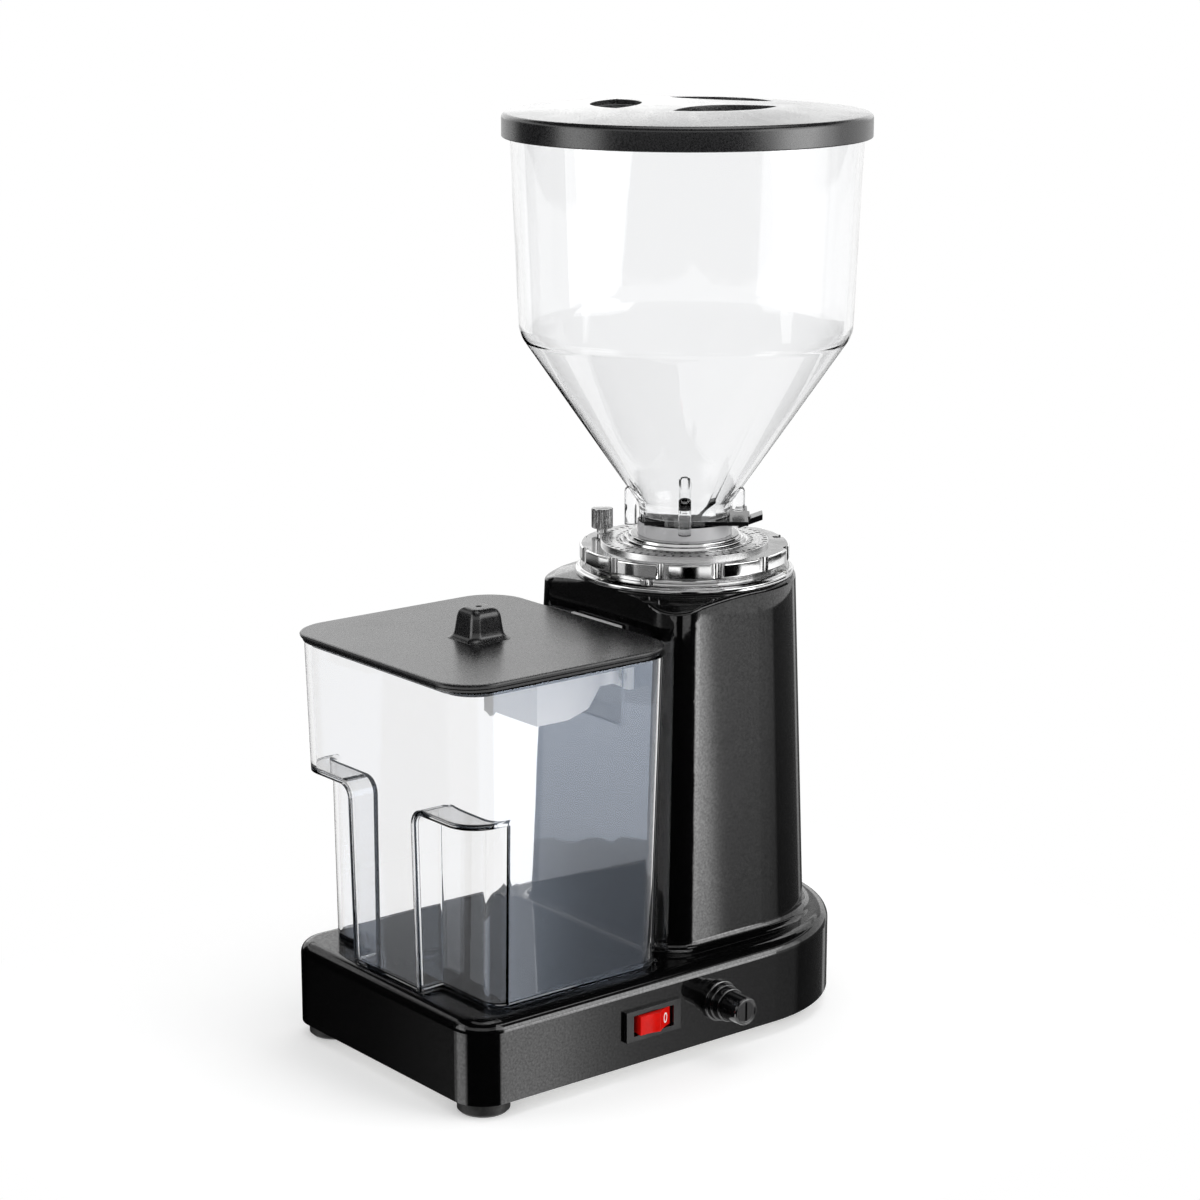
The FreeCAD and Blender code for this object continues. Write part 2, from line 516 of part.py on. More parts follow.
for corner, (x, y) in BOLTS.items():
    roof = "base_top - base_roof"
    turned_node("tower_bolt_" + corner, [
        ("0", roof + " - bolt_head_tall"), ("bolt_head", roof + " - bolt_head_tall"), ("bolt_head", roof),
        ("bolt_shank", roof), ("bolt_shank", "bolt_top"), ("0", "bolt_top")], (x, y, "0"))

# Outlet chute: a hood on the tower's front that opens down into the container
hood = new_body("chute_form")
side = new_sketch(hood, "YZ_Plane")
polygon(side, [
    ("chute_face", "chute_lip_top"), ("chute_lip", "chute_lip_top"), ("chute_lip", "chute_top"),
    ("chute_front", "chute_top"), ("chute_front", "chute_low"), ("chute_step", "chute_low"),
    ("chute_bend", "chute_bend_z"), ("chute_heel", "chute_heel_z"), ("chute_face", "chute_heel_z")])
pad(hood, side, "chute_half * 2", both=True)
ears = block(("-ear_half", "chute_face - ear_thick", "ear_low"), ("ear_half", "chute_face", "ear_top"))
channel = block(("-chute_half + chute_wall", "chute_front + chute_wall", "outlet_low"),
                ("chute_half - chute_wall", "0", "chute_top - chute_roof"))
drop = block(("-chute_half + chute_wall", "chute_front + chute_wall", "chute_low - chute_wall"),
             ("chute_half - chute_wall", "chute_heel - chute_wall", "outlet_low + chute_wall"))
ear_holes = [cylinder("ear_hole", "ear_screw_in * 4", (x, "chute_face + ear_screw_in", "ear_screw_z"),
                      TO_FRONT)
             for x in ("-ear_screw_x", "ear_screw_x")]
keep("outlet_chute", cut(fuse([hood, ears]), [channel, drop] + ear_holes))
for hand, x in (("left", "-ear_screw_x"), ("right", "ear_screw_x")):
    turned_node("chute_screw_" + hand, [
        ("0", "-ear_screw_in"), ("ear_shank", "-ear_screw_in"), ("ear_shank", "ear_thick"),
        ("ear_head", "ear_thick"),
        ("ear_head", "ear_thick + ear_head_out"), ("0", "ear_thick + ear_head_out")],
        (x, "chute_face", "ear_screw_z"), TO_FRONT)

# Motor
turned_node("motor_lower_bell", [
    ("bearing_outer", "bell_low"), ("bell_radius", "bell_low"), ("bell_radius", "stack_low"),
    ("bell_inner", "stack_low"),
    ("bell_inner", "bell_floor"), ("bell_boss", "bell_floor"), ("bell_boss", "bell_boss_top"),
    ("bearing_outer", "bell_boss_top")])
turned_node("motor_upper_bell", [
    ("bearing_outer", "head_boss"), ("bell_boss", "head_boss"), ("bell_boss", "head_roof"),
    ("bell_inner", "head_roof"),
    ("bell_inner", "stack_top"), ("bell_radius", "stack_top"), ("bell_radius", "head_top"),
    ("bearing_outer", "head_top")])
for label, low in (("lower_bearing", "bearing_low"), ("upper_bearing", "head_bearing_low")):
    turned_node(label, [("bearing_bore", low), ("bearing_outer", low),
                        ("bearing_outer", low + " + bearing_wide"),
                        ("bearing_bore", low + " + bearing_wide")])
turned_node("motor_stator", [("stack_inner", "stack_low"), ("bell_radius", "stack_low"),
                             ("bell_radius", "stack_top"),
                             ("stack_inner", "stack_top")])
turned_node("motor_windings", [
    ("coil_inner", "coil_low"), ("coil_outer", "coil_low"), ("coil_outer", "stack_low - coil_gap"),
    ("stack_inner", "stack_low - coil_gap"), ("stack_inner", "stack_top + coil_gap"),
    ("coil_outer", "stack_top + coil_gap"),
    ("coil_outer", "coil_top"), ("coil_inner", "coil_top")])
turned_node("motor_rotor", [("shaft_radius", "rotor_low"), ("rotor_radius", "rotor_low"),
                            ("rotor_radius", "rotor_top"),
                            ("shaft_radius", "rotor_top")])
turned_node("motor_shaft", [("0", "shaft_low"), ("shaft_radius", "shaft_low"), ("shaft_radius", "shaft_step"),
                            ("shaft_thread", "shaft_step"), ("shaft_thread", "shaft_top"),
                            ("0", "shaft_top")])
fan_disc = turned("fan_form", [
    ("shaft_radius", "fan_low"), ("fan_radius", "fan_low"), ("fan_radius", "fan_low + fan_disc"),
    ("fan_hub", "fan_low + fan_disc"), ("fan_hub", "fan_hub_top"), ("shaft_radius", "fan_hub_top")])
BLADES = 8
blades = [block(("fan_blade_root", "-fan_blade_thick / 2", "fan_low + fan_disc / 2"),
                ("fan_radius - fan_disc", "fan_blade_thick / 2", "fan_blade_top"), 360 / BLADES * turn)
          for turn in range(BLADES)]
keep("cooling_fan", fuse([fan_disc] + blades))

# Grinding head: chamber, lower burr on the shaft, upper burr under the adjusting ring
chamber = turned("chamber_form", [
    ("chamber_hub", "chamber_low"), ("chamber_radius", "chamber_low"), ("chamber_radius", "chamber_top"),
    ("chamber_inner", "chamber_top"), ("chamber_inner", "chamber_floor"), ("chamber_hub", "chamber_floor")])
keep("grinding_chamber", cut(chamber, [block(("-outlet_half", "-tower_front", "outlet_low"),
                                             ("outlet_half", "0", "outlet_top"))]))
carrier = turned("carrier_form", [
    ("shaft_radius", "carrier_hub_low"), ("carrier_hub", "carrier_hub_low"), ("carrier_hub", "carrier_low"),
    ("carrier_radius", "carrier_low"), ("carrier_radius", "carrier_top"), ("shaft_radius", "carrier_top")])
VANES = 3
vanes = [block(("carrier_hub - vane_thick / 2", "-vane_thick / 2", "carrier_hub_low"),
               ("vane_radius", "vane_thick / 2", "carrier_top"),
               360 / VANES * turn) for turn in range(VANES)]
keep("burr_carrier", fuse([carrier] + vanes))
turned_node("lower_burr", [
    ("burr_eye", "burr_low"), ("burr_radius", "burr_low"), ("burr_radius", "burr_top"),
    ("burr_eye + burr_slope * 2", "burr_top - burr_slope"), ("burr_eye", "burr_top - burr_slope")])
nut = new_body("nut_form")
hexagon = new_sketch(nut, "XY_Plane", "burr_low")
SIDES = 6
corner_out = "nut_flats / 2 / cos(30)"
polygon(hexagon, [(f"{corner_out} * cos({360 / SIDES * turn + 30})",
                   f"{corner_out} * sin({360 / SIDES * turn + 30})")
                  for turn in range(SIDES)])
circle(hexagon, "shaft_thread")
pad(nut, hexagon, "nut_tall")
keep("burr_nut", nut)
turned_node("upper_burr", [
    ("upper_burr_eye", "upper_burr_low + burr_slope"), ("burr_radius - burr_slope", "upper_burr_low"),
    ("burr_radius", "upper_burr_low"), ("burr_radius", "upper_burr_top"),
    ("upper_burr_eye", "upper_burr_top")])
turned_node("upper_burr_holder", [
    ("upper_burr_eye", "holder_low"), ("holder_radius", "holder_low"), ("holder_radius", "holder_top"),
    ("upper_burr_eye + burr_slope", "holder_top")])

# Flange on the tower, adjusting ring above it
flange = turned("flange_form", [
    ("flange_bore", "flange_low"), ("flange_radius", "flange_low"),
    ("flange_radius", "flange_top - flange_edge"),
    ("flange_radius - flange_edge", "flange_top"), ("flange_neck", "flange_top"),
    ("flange_neck", "flange_neck_top"),
    ("flange_bore", "flange_neck_top")])
flange_holes = []
for angle in SCREW_ANGLES:
    spot = on_circle("flange_screw_ring", angle)
    flange_holes.append(cylinder("flange_shank", "flange_head_tall * 9",
                                 spot + ("flange_low - flange_head_tall",)))
    flange_holes.append(cylinder("flange_head", "flange_head_tall * 9",
                                 spot + ("flange_top - flange_head_tall",)))
keep("top_flange", cut(flange, flange_holes))
for number, angle in enumerate(SCREW_ANGLES, 1):
    turned_node(f"flange_screw_{number}", [
        ("0", "flange_screw_low + base_wall"), ("flange_shank", "flange_screw_low + base_wall"),
        ("flange_shank", "flange_top - flange_head_tall"), ("flange_head", "flange_top - flange_head_tall"),
        ("flange_head", "flange_top"), ("0", "flange_top")], on_circle("flange_screw_ring", angle) + ("0",))
turned_node("pointer_pin", [("0", "flange_top"), ("pointer_radius", "flange_top"),
                            ("pointer_radius", "pointer_top"),
                            ("0", "pointer_top")], on_circle("pointer_ring", "pointer_angle") + ("0",))

ring = turned("ring_form", [
    ("ring_skirt_inner", "ring_skirt_low"), ("ring_skirt", "ring_skirt_low"), ("ring_skirt", "ring_low"),
    ("ring_radius", "ring_low"), ("ring_radius", "ring_top"), ("ring_bore", "ring_top"),
    ("ring_bore", "ring_web"),
    ("ring_skirt_inner", "ring_web")])
LOBES = 12
ring_tools = [cylinder("notch_radius", "ring_top - ring_low + base_wall * 2",
                       on_circle("notch_ring", f"{360 / LOBES * turn + 8}") + ("ring_low - base_wall",))
                       for turn in range(LOBES)]
ring_tools.append(cylinder("knob_hole", "ring_top - ring_low + base_wall * 2",
                           on_circle("knob_ring", "knob_angle") + ("ring_low - base_wall",)))
ring_tools.append(cylinder("lever_hole", "ring_top - ring_low + base_wall * 2",
                           on_circle("lever_ring", "lever_angle") + ("ring_low - base_wall",)))
keep("adjusting_ring", cut(ring, ring_tools))
turned_node("scale_disc", [("ring_bore", "ring_top"), ("scale_radius", "ring_top"),
                           ("scale_radius", "ring_top + scale_thick"),
                           ("ring_bore", "ring_top + scale_thick")])
turned_node("hopper_collar", [
    ("collar_bore", "collar_low"), ("collar_neck", "collar_low"), ("collar_neck", "ring_web"),
    ("collar_outer", "ring_web"),
    ("collar_outer", "collar_step"), ("collar_shoulder", "collar_step"),
    ("collar_shoulder", "collar_step + scale_thick"),
    ("collar_neck", "collar_step + scale_thick"), ("collar_neck", "collar_top"),
    ("collar_bore", "collar_top")])
turned_node("index_knob", [
    ("0", "knob_pin_low"), ("knob_pin", "knob_pin_low"), ("knob_pin", "knob_seat"),
    ("knob_neck", "knob_seat"),
    ("knob_neck", "knob_low"), ("knob_radius", "knob_low"), ("knob_radius", "knob_top - knob_edge"),
    ("knob_radius - knob_edge", "knob_top"), ("0", "knob_top")],
    on_circle("knob_ring", "knob_angle") + ("0",))

# Hopper: clear neck, cone and slightly flared drum, with locating posts and a slot for the gate
wall = "hopper_wall"
vessel = turned("hopper_form", [
    ("neck_radius - " + wall, "neck_low"), ("neck_radius", "neck_low"), ("neck_radius", "neck_top"),
    ("cone_radius", "cone_top"), ("rim_radius", "rim_top"), ("rim_radius - " + wall, "rim_top"),
    ("cone_radius - " + wall, "cone_top + hopper_wall / 2"),
    ("neck_radius - " + wall, "neck_top + hopper_wall / 2")])
POST_ANGLES = (-40, -130, 140)
posts = [cylinder("post_radius", "post_top - post_low", on_circle("post_ring", angle) + ("post_low",))
         for angle in POST_ANGLES]
gate_slot = block(("-gate_in - gate_gap", "-gate_half - gate_gap", "gate_low - gate_gap"),
                  ("slot_out", "gate_half + gate_gap", "gate_low + gate_thick + gate_gap"), "gate_angle")
keep("hopper", cut(fuse([vessel] + posts), [gate_slot]))
leaf = block(("-gate_in", "-gate_half", "gate_low"), ("gate_out", "gate_half", "gate_low + gate_thick"),
             "gate_angle")
tongue = block(("0", "-tongue_half", "gate_low"), ("tongue_out", "tongue_half", "gate_low + gate_thick"),
               "gate_angle")
# the handle slopes up towards the hand
handle = new_body("handle_form")
side = new_sketch(handle, "XZ_Plane")
polygon(side, [
    ("handle_in", "handle_low"), ("handle_out", "handle_low + handle_rise"),
    ("handle_out", "handle_low + handle_rise + handle_thick"), ("handle_in", "handle_low + handle_thick")])
pad(handle, side, "handle_half * 2", both=True)
handle.Placement = FreeCAD.Placement(FreeCAD.Vector(),
                                     FreeCAD.Rotation(FreeCAD.Vector(0, 0, 1), value_of("gate_angle")))
keep("shutter_gate", fuse([leaf, tongue, handle]))

lid = turned("lid_form", [
    ("0", "lid_top - lid_roof"), ("lid_mid_radius", "lid_mid_top - lid_roof"),
    ("lid_inner", "rim_top + hole_gap"),
    ("lid_inner", "lid_low"), ("lid_radius", "lid_low"), ("lid_radius", "lid_edge_z"),
    ("lid_edge_radius", "lid_edge_top"),
    ("lid_mid_radius", "lid_mid_top"), ("0", "lid_top")])
LEAVES = (-9, 111, 231)
arc = "(leaf_half_long ^ 2 + leaf_half_wide ^ 2) / (2 * leaf_half_wide)"
leaves = []
for angle in LEAVES:
    # two arcs that cross make each pointed opening
    low = ("lid_edge_z - hopper_wall",)
    near = cylinder(arc, "lid_top - lid_low", on_circle(f"(slot_ring + leaf_half_wide - {arc})", angle) + low)
    far = cylinder(arc, "lid_top - lid_low", on_circle(f"(slot_ring - leaf_half_wide + {arc})", angle) + low)
    opening = doc.addObject("Part::Common", "leaf_opening")
    opening.Base = near
    opening.Tool = far
    leaves.append(opening)
keep("hopper_lid", cut(lid, leaves))


# Catch container: a drafted clear box, with two finger recesses low on its front

def container_form(name, inset, floor):
    body = new_body(name)
    plan = new_sketch(body, "XY_Plane", f"can_low + {floor}")
    rectangle(plan, f"-can_half + {inset}", f"can_half - {inset}", f"-can_front + {inset}",
              f"-can_rear - {inset}")
    pad(body, plan, f"can_top - can_low - {floor} + {inset}", "can_draft")
    grips = new_sketch(body, "XZ_Plane", f"grip_back - {inset}")
    for hand in ("-", ""):
        inner = f"{hand}(block_half - {inset})"
        outer = f"{hand}(can_half * 2)"
        left, right = (outer, inner) if hand else (inner, outer)
        rectangle(grips, left, right, "can_low - can_wall * 2", f"grip_top + {inset}")
    pocket(body, grips, "can_front", backward=True)
    ceiling = value_of(f"grip_top + {inset}")
    side = value_of("block_half") * 1.5
    soften(body, f"recess_corner - {inset}", lambda edge: upright(edge) and abs(edge.CenterOfMass.x) > side
           and edge.BoundBox.ZMax < ceiling + SLIGHT)
    soften(body, f"can_corner - {inset}", lambda edge: upright(edge) and abs(edge.CenterOfMass.x) > side
           and edge.BoundBox.ZMax > ceiling + SLIGHT)
    return body


outside = container_form("container_outside", "0", "0")
inside = container_form("container_inside", "can_wall", "can_floor")
window = block(("-window_half", "-can_rear - can_wall * 2", "window_low"),
               ("window_half", "-cover_rear + can_wall", "can_top * 2"))
keep("container", cut(outside, [inside, window]))

cover = new_body("cover_form")
plan = new_sketch(cover, "XY_Plane", "cover_low")
rectangle(plan, "-cover_half", "cover_half", "-cover_front", "-cover_rear")
pad(cover, plan, "cover_thick")
soften(cover, "cover_corner", upright)
soften(cover, "cover_edge", lambda edge: edge.BoundBox.ZMin > value_of("cover_low + cover_thick") - SLIGHT)
plug = new_body("plug_form")
plan = new_sketch(plug, "XY_Plane", "cover_low - plug_deep")
rectangle(plan, "-plug_half", "plug_half", "-plug_front", "-plug_rear")
pad(plug, plan, "plug_deep")
soften(plug, "plug_corner", upright)
plug_hole = new_body("plug_hole_form")
plan = new_sketch(plug_hole, "XY_Plane", "cover_low - plug_deep * 2")
rectangle(plan, "-plug_half + plug_wall", "plug_half - plug_wall", "-plug_front + plug_wall",
          "-plug_rear - plug_wall")
pad(plug_hole, plan, "plug_deep * 2")
soften(plug_hole, "plug_corner - plug_wall", upright)
plug_gap = block(("-window_half", "-plug_rear - plug_wall * 3", "cover_low - plug_deep * 2"),
                 ("window_half", "0", "cover_low"))
knob = new_body("lid_grip_form")
plan = new_sketch(knob, "XY_Plane", "cover_low + cover_thick / 2")
rectangle(plan, "-grip_half", "grip_half", "grip_y - grip_half", "grip_y + grip_half")
pad(knob, plan, "grip_tall + cover_thick / 2", "grip_draft")
KNOB_TOP = "cover_low + cover_thick + grip_tall"
soften(knob, "grip_edge", lambda edge: edge.BoundBox.ZMax > value_of(KNOB_TOP) - SLIGHT)
keep("container_lid", fuse([cover, cut(plug, [plug_hole, plug_gap]), knob]))

# Check every object, then write one file for each piece
doc.recompute()
for thing in doc.Objects:
    if "Invalid" in thing.State or "Error" in thing.State:
        raise RuntimeError(f"{thing.Label} did not build: {thing.State}")
os.makedirs("parts", exist_ok=True)
for thing in nodes:
    shape = thing.Shape
    if shape.isNull() or not shape.isValid() or shape.Volume <= 0:
        raise RuntimeError(f"{thing.Label} has no sound shape")
for thing in nodes:
    thing.Shape.exportStep(f"parts/{thing.Label}.step")
print(len(nodes), "pieces written")
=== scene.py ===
# %% [markdown]
# # A burr coffee grinder, dressed in Blender
# The frame brings every solid of the grinder, in metres and in its place. This lesson adds what
# makes it look real: a camera and a small studio, the finishes, and finer pieces over the plain
# solids. Pieces are measured in millimetres, from the floor and from the tower's upright axis, and
# the studio round them in metres.

# %% Load the frame
import math

import bmesh
import bpy
from mathutils import Matrix, Vector


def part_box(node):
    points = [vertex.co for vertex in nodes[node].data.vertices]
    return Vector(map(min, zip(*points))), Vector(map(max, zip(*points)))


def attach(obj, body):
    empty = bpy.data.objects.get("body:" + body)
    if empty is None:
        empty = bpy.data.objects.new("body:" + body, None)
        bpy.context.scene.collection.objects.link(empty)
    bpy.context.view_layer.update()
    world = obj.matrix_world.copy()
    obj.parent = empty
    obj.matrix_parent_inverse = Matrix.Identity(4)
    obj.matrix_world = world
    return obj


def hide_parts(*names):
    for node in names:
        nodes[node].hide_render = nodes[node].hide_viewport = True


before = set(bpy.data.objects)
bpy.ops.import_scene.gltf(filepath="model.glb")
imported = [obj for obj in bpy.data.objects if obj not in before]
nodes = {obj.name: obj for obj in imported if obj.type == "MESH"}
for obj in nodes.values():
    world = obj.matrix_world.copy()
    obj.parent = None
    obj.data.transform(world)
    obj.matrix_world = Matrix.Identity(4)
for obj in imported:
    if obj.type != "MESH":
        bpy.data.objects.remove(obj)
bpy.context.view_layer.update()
scene = bpy.context.scene
MM = 0.001
FULL_TURN = 2 * math.pi


def middle(node):
    """The centre of a solid's box."""
    low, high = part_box(node)
    return (low + high) / 2


axis = middle("hopper_lid")
axis.z = 0
print("solids:", len(nodes), "axis:", [round(value, 4) for value in axis])

# %% [markdown]
# ## Camera
# The view was fitted to the edges of the base and the tower, so the lens is long and looks a little
# down. A focal length in pixels becomes a lens in millimetres through the width of the sensor.

# %% Camera
CAMERA_PLACE = Vector((1.0888, -0.8752, 0.5418))
CAMERA_AIM = Vector((-0.0296, 0.0170, 0.1976))
FOCAL_PIXELS = 3070
FRAME_PIXELS = 1200

lens = bpy.data.cameras.new("camera")
lens.lens = lens.sensor_width * FOCAL_PIXELS / FRAME_PIXELS
camera = bpy.data.objects.new("camera", lens)
camera.location = CAMERA_PLACE
camera.rotation_euler = (CAMERA_AIM - CAMERA_PLACE).to_track_quat("-Z", "Y").to_euler()
scene.collection.objects.link(camera)
scene.camera = camera
scene.view_settings.view_transform = "Standard"
print("lens:", round(lens.lens, 1), "mm")

# %% [markdown]
# ## Writing node trees as sums
# A finish is mostly arithmetic on noise. One small class wraps a socket, so that `1 - grain * 0.4`
# adds its own Math nodes, and one method adds any other node: its settings first, then its sockets.


# %% Node trees
class Socket:
    """An output that can stand in a sum."""

    def __init__(self, tree, output):
        self.tree = tree
        self.output = output

    def reckon(self, operation, first, second):
        return self.tree.add("ShaderNodeMath", {"operation": operation}, {0: first, 1: second})

    def __add__(self, other):
        return self.reckon("ADD", self, other)

    def __sub__(self, other):
        return self.reckon("SUBTRACT", self, other)

    def __rsub__(self, other):
        return self.reckon("SUBTRACT", other, self)

    def __mul__(self, other):
        return self.reckon("MULTIPLY", self, other)

    def __gt__(self, other):
        return self.reckon("GREATER_THAN", self, other)

    __radd__ = __add__
    __rmul__ = __mul__


class Tree:
    """A node tree of a material or of the world."""

    def __init__(self, owner):
        owner.use_nodes = True
        self.nodes = owner.node_tree.nodes
        self.links = owner.node_tree.links

    def fill(self, node, sockets):
        for name, value in sockets.items():
            if isinstance(value, Socket):
                self.links.new(value.output, node.inputs[name])
            else:
                node.inputs[name].default_value = value

    def add(self, kind, settings=None, sockets=None, out=0):
        node = self.nodes.new(kind)
        for name, value in (settings or {}).items():
            setattr(node, name, value)
        self.fill(node, sockets or {})
        return Socket(self, node.outputs[out])

    def vector(self, operation, *parts, out=0):
        """A sum on whole vectors."""
        sockets = dict(enumerate(parts))
        return self.add("ShaderNodeVectorMath", {"operation": operation}, sockets, out)

    def ray(self, kind):
        """What the path of light says, such as whether the camera looks here."""
        return self.add("ShaderNodeLightPath", out=kind)


print("node trees ready")


# %% Finishes as node trees
class Finish(Tree):
    """A material with one surface shader, patterned in the piece's own millimetres."""

    def __init__(self, name, **constants):
        self.material = bpy.data.materials.new(name)
        super().__init__(self.material)
        self.shader = self.nodes["Principled BSDF"]
        self.set(**constants)
        self.place = self.add("ShaderNodeTexCoord", out="Object")

    def set(self, **values):
        """Socket names are written with underscores: Base_Color=(r, g, b)."""
        for name, value in values.items():
            if isinstance(value, tuple) and len(value) == 3:
                value = (*value, 1.0)
            self.fill(self.shader, {name.replace("_", " "): value})

    def along(self, letter):
        """The place on one of the axes X, Y and Z."""
        return self.add("ShaderNodeSeparateXYZ", {}, {"Vector": self.place}, letter)

    def stretched(self, stretch):
        return self.add("ShaderNodeMapping", {}, {"Vector": self.place, "Scale": stretch})

    def noise(self, size, detail=2.0, place=None, rough=0.5):
        """Soft random grain whose lumps are about size millimetres."""
        sockets = {"Vector": place or self.place, "Scale": 1 / (size * MM), "Detail": detail,
                   "Roughness": rough}
        return self.add("ShaderNodeTexNoise", {}, sockets, "Fac")

    def spread(self, value, low, high, start=0.0, end=1.0):
        """Map a socket from low..high to start..end, and hold it there."""
        sockets = {"Value": value, "From Min": low, "From Max": high, "To Min": start,
                   "To Max": end}
        return self.add("ShaderNodeMapRange", {"clamp": True}, sockets)

    def blend(self, share, first, second):
        """A colour between two, by a socket."""
        sockets = {0: share, 6: (*first, 1.0), 7: (*second, 1.0)}
        return self.add("ShaderNodeMix", {"data_type": "RGBA"}, sockets, 2)

    def bump(self, height, depth):
        """Raise the surface by up to depth millimetres."""
        self.set(Normal=self.add("ShaderNodeBump", {}, {"Height": height, "Distance": depth * MM}))


print("finish helpers ready")

# %% [markdown]
# ## Studio
# A pale floor keeps the shadow and is lifted towards white where it is seen, also through clear
# walls. It fades to plain white a hand's breadth from the base, and isn't mirrored, because a
# polished black wall seen from above would otherwise only mirror the floor. The world is white too,
# but dim for whatever mirrors it behind clear walls, so that the black base stays black under the
# container.

# %% Floor and world
FLOOR_HALF = 6.0
FADE_START, FADE_END = 0.02, 0.18
FLOOR_LIFT = 0.32
AMBIENT = 0.7
VEIL = 0.8
ONE_MIRROR, TWO_FACES = 0.5, 1.5

floor_shape = bmesh.new()
bmesh.ops.create_grid(floor_shape, x_segments=1, y_segments=1, size=FLOOR_HALF)
floor_mesh = bpy.data.meshes.new("floor")
floor_shape.to_mesh(floor_mesh)
floor_shape.free()
floor = bpy.data.objects.new("floor", floor_mesh)
scene.collection.objects.link(floor)
floor.visible_glossy = False

paper = Finish("white_paper", Base_Color=(0.86, 0.86, 0.86), Roughness=0.9, Specular_IOR_Level=0.0,
               Emission_Color=(1, 1, 1))
looked_at = paper.ray("Is Camera Ray") + paper.ray("Is Transmission Ray")
paper.set(Emission_Strength=FLOOR_LIFT * looked_at)
base_low, base_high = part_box("base_shell")
base_middle = (base_low + base_high) / 2
base_half = (base_high - base_low) / 2
beside = paper.vector("ABSOLUTE", paper.vector("SUBTRACT", paper.place, tuple(base_middle)))
beside = paper.vector("MAXIMUM", paper.vector("SUBTRACT", beside, tuple(base_half)), (0, 0, 0))
away = paper.spread(paper.vector("LENGTH", beside, out="Value"), FADE_START, FADE_END)
glow = paper.add("ShaderNodeEmission", {}, {"Color": (1, 1, 1, 1), "Strength": 1.0})
surface = Socket(paper, paper.shader.outputs["BSDF"])
mixed = paper.add("ShaderNodeMixShader", {}, {0: away, 1: surface, 2: glow})
paper.fill(paper.nodes["Material Output"], {"Surface": mixed})
floor_mesh.materials.append(paper.material)

world = bpy.data.worlds.new("studio")
scene.world = world
air = Tree(world)
direct = air.ray("Is Camera Ray") + air.ray("Is Glossy Ray")
seen = air.add("ShaderNodeMath", {"operation": "ADD", "use_clamp": True},
               {0: direct, 1: air.ray("Is Transmission Ray")})
mirrors, walls = air.ray("Glossy Depth"), air.ray("Transmission Depth")
veiled = (mirrors > ONE_MIRROR) * (walls > TWO_FACES)
shine = AMBIENT + (1 - AMBIENT) * seen - VEIL * veiled
air.fill(air.nodes["Background"], {"Color": (1, 1, 1, 1), "Strength": shine})
print("floor and world ready")

# %% [markdown]
# ## Lamps
# Three soft lamps light what isn't black: a large one on the right, a narrow one at the front and
# one above.


# %% Lamps
def bearing(degrees, reach, height):
    """A place seen from the grinder: 0 degrees to its right, 90 to its front."""
    turn = math.radians(degrees)
    return Vector((math.cos(turn) * reach, -math.sin(turn) * reach, height))


def softbox(name, place, aim, wide, tall, brightness):
    """A flat lamp whose face has this brightness, where white paper in plain light is 1."""
    lamp = bpy.data.lights.new(name, "AREA")
    lamp.shape = "RECTANGLE"
    lamp.size = wide
    lamp.size_y = tall
    lamp.energy = brightness * math.pi * wide * tall
    holder = bpy.data.objects.new(name, lamp)
    holder.location = place
    holder.rotation_euler = (aim - place).to_track_quat("-Z", "Z").to_euler()
    holder.visible_camera = False
    scene.collection.objects.link(holder)


HEART = Vector((0, 0, 0.18))
softbox("right_softbox", bearing(-28, 1.2, 0.6), HEART, 1.0, 1.0, 2.4)
softbox("left_softbox", bearing(110, 1.3, 0.5), HEART, 0.5, 0.9, 1.4)
softbox("top_softbox", Vector((0.1, 0.25, 1.5)), HEART, 0.9, 0.9, 1.3)
print("lamps:", len(bpy.data.lights))

# %% [markdown]
# ## Cards
# Gloss black only reads as black where it has something dark to mirror. Curved cards stand round
# the grinder, seen by reflections alone: black ones for the dark faces, bright ones for the bands
# of light along the rounded corners, and a narrow one close by, light and dark in turn, for the
# ring. Each card has a few bearings with the brightness there, and blends from one to the next.
# Through the gaps the white world is mirrored.

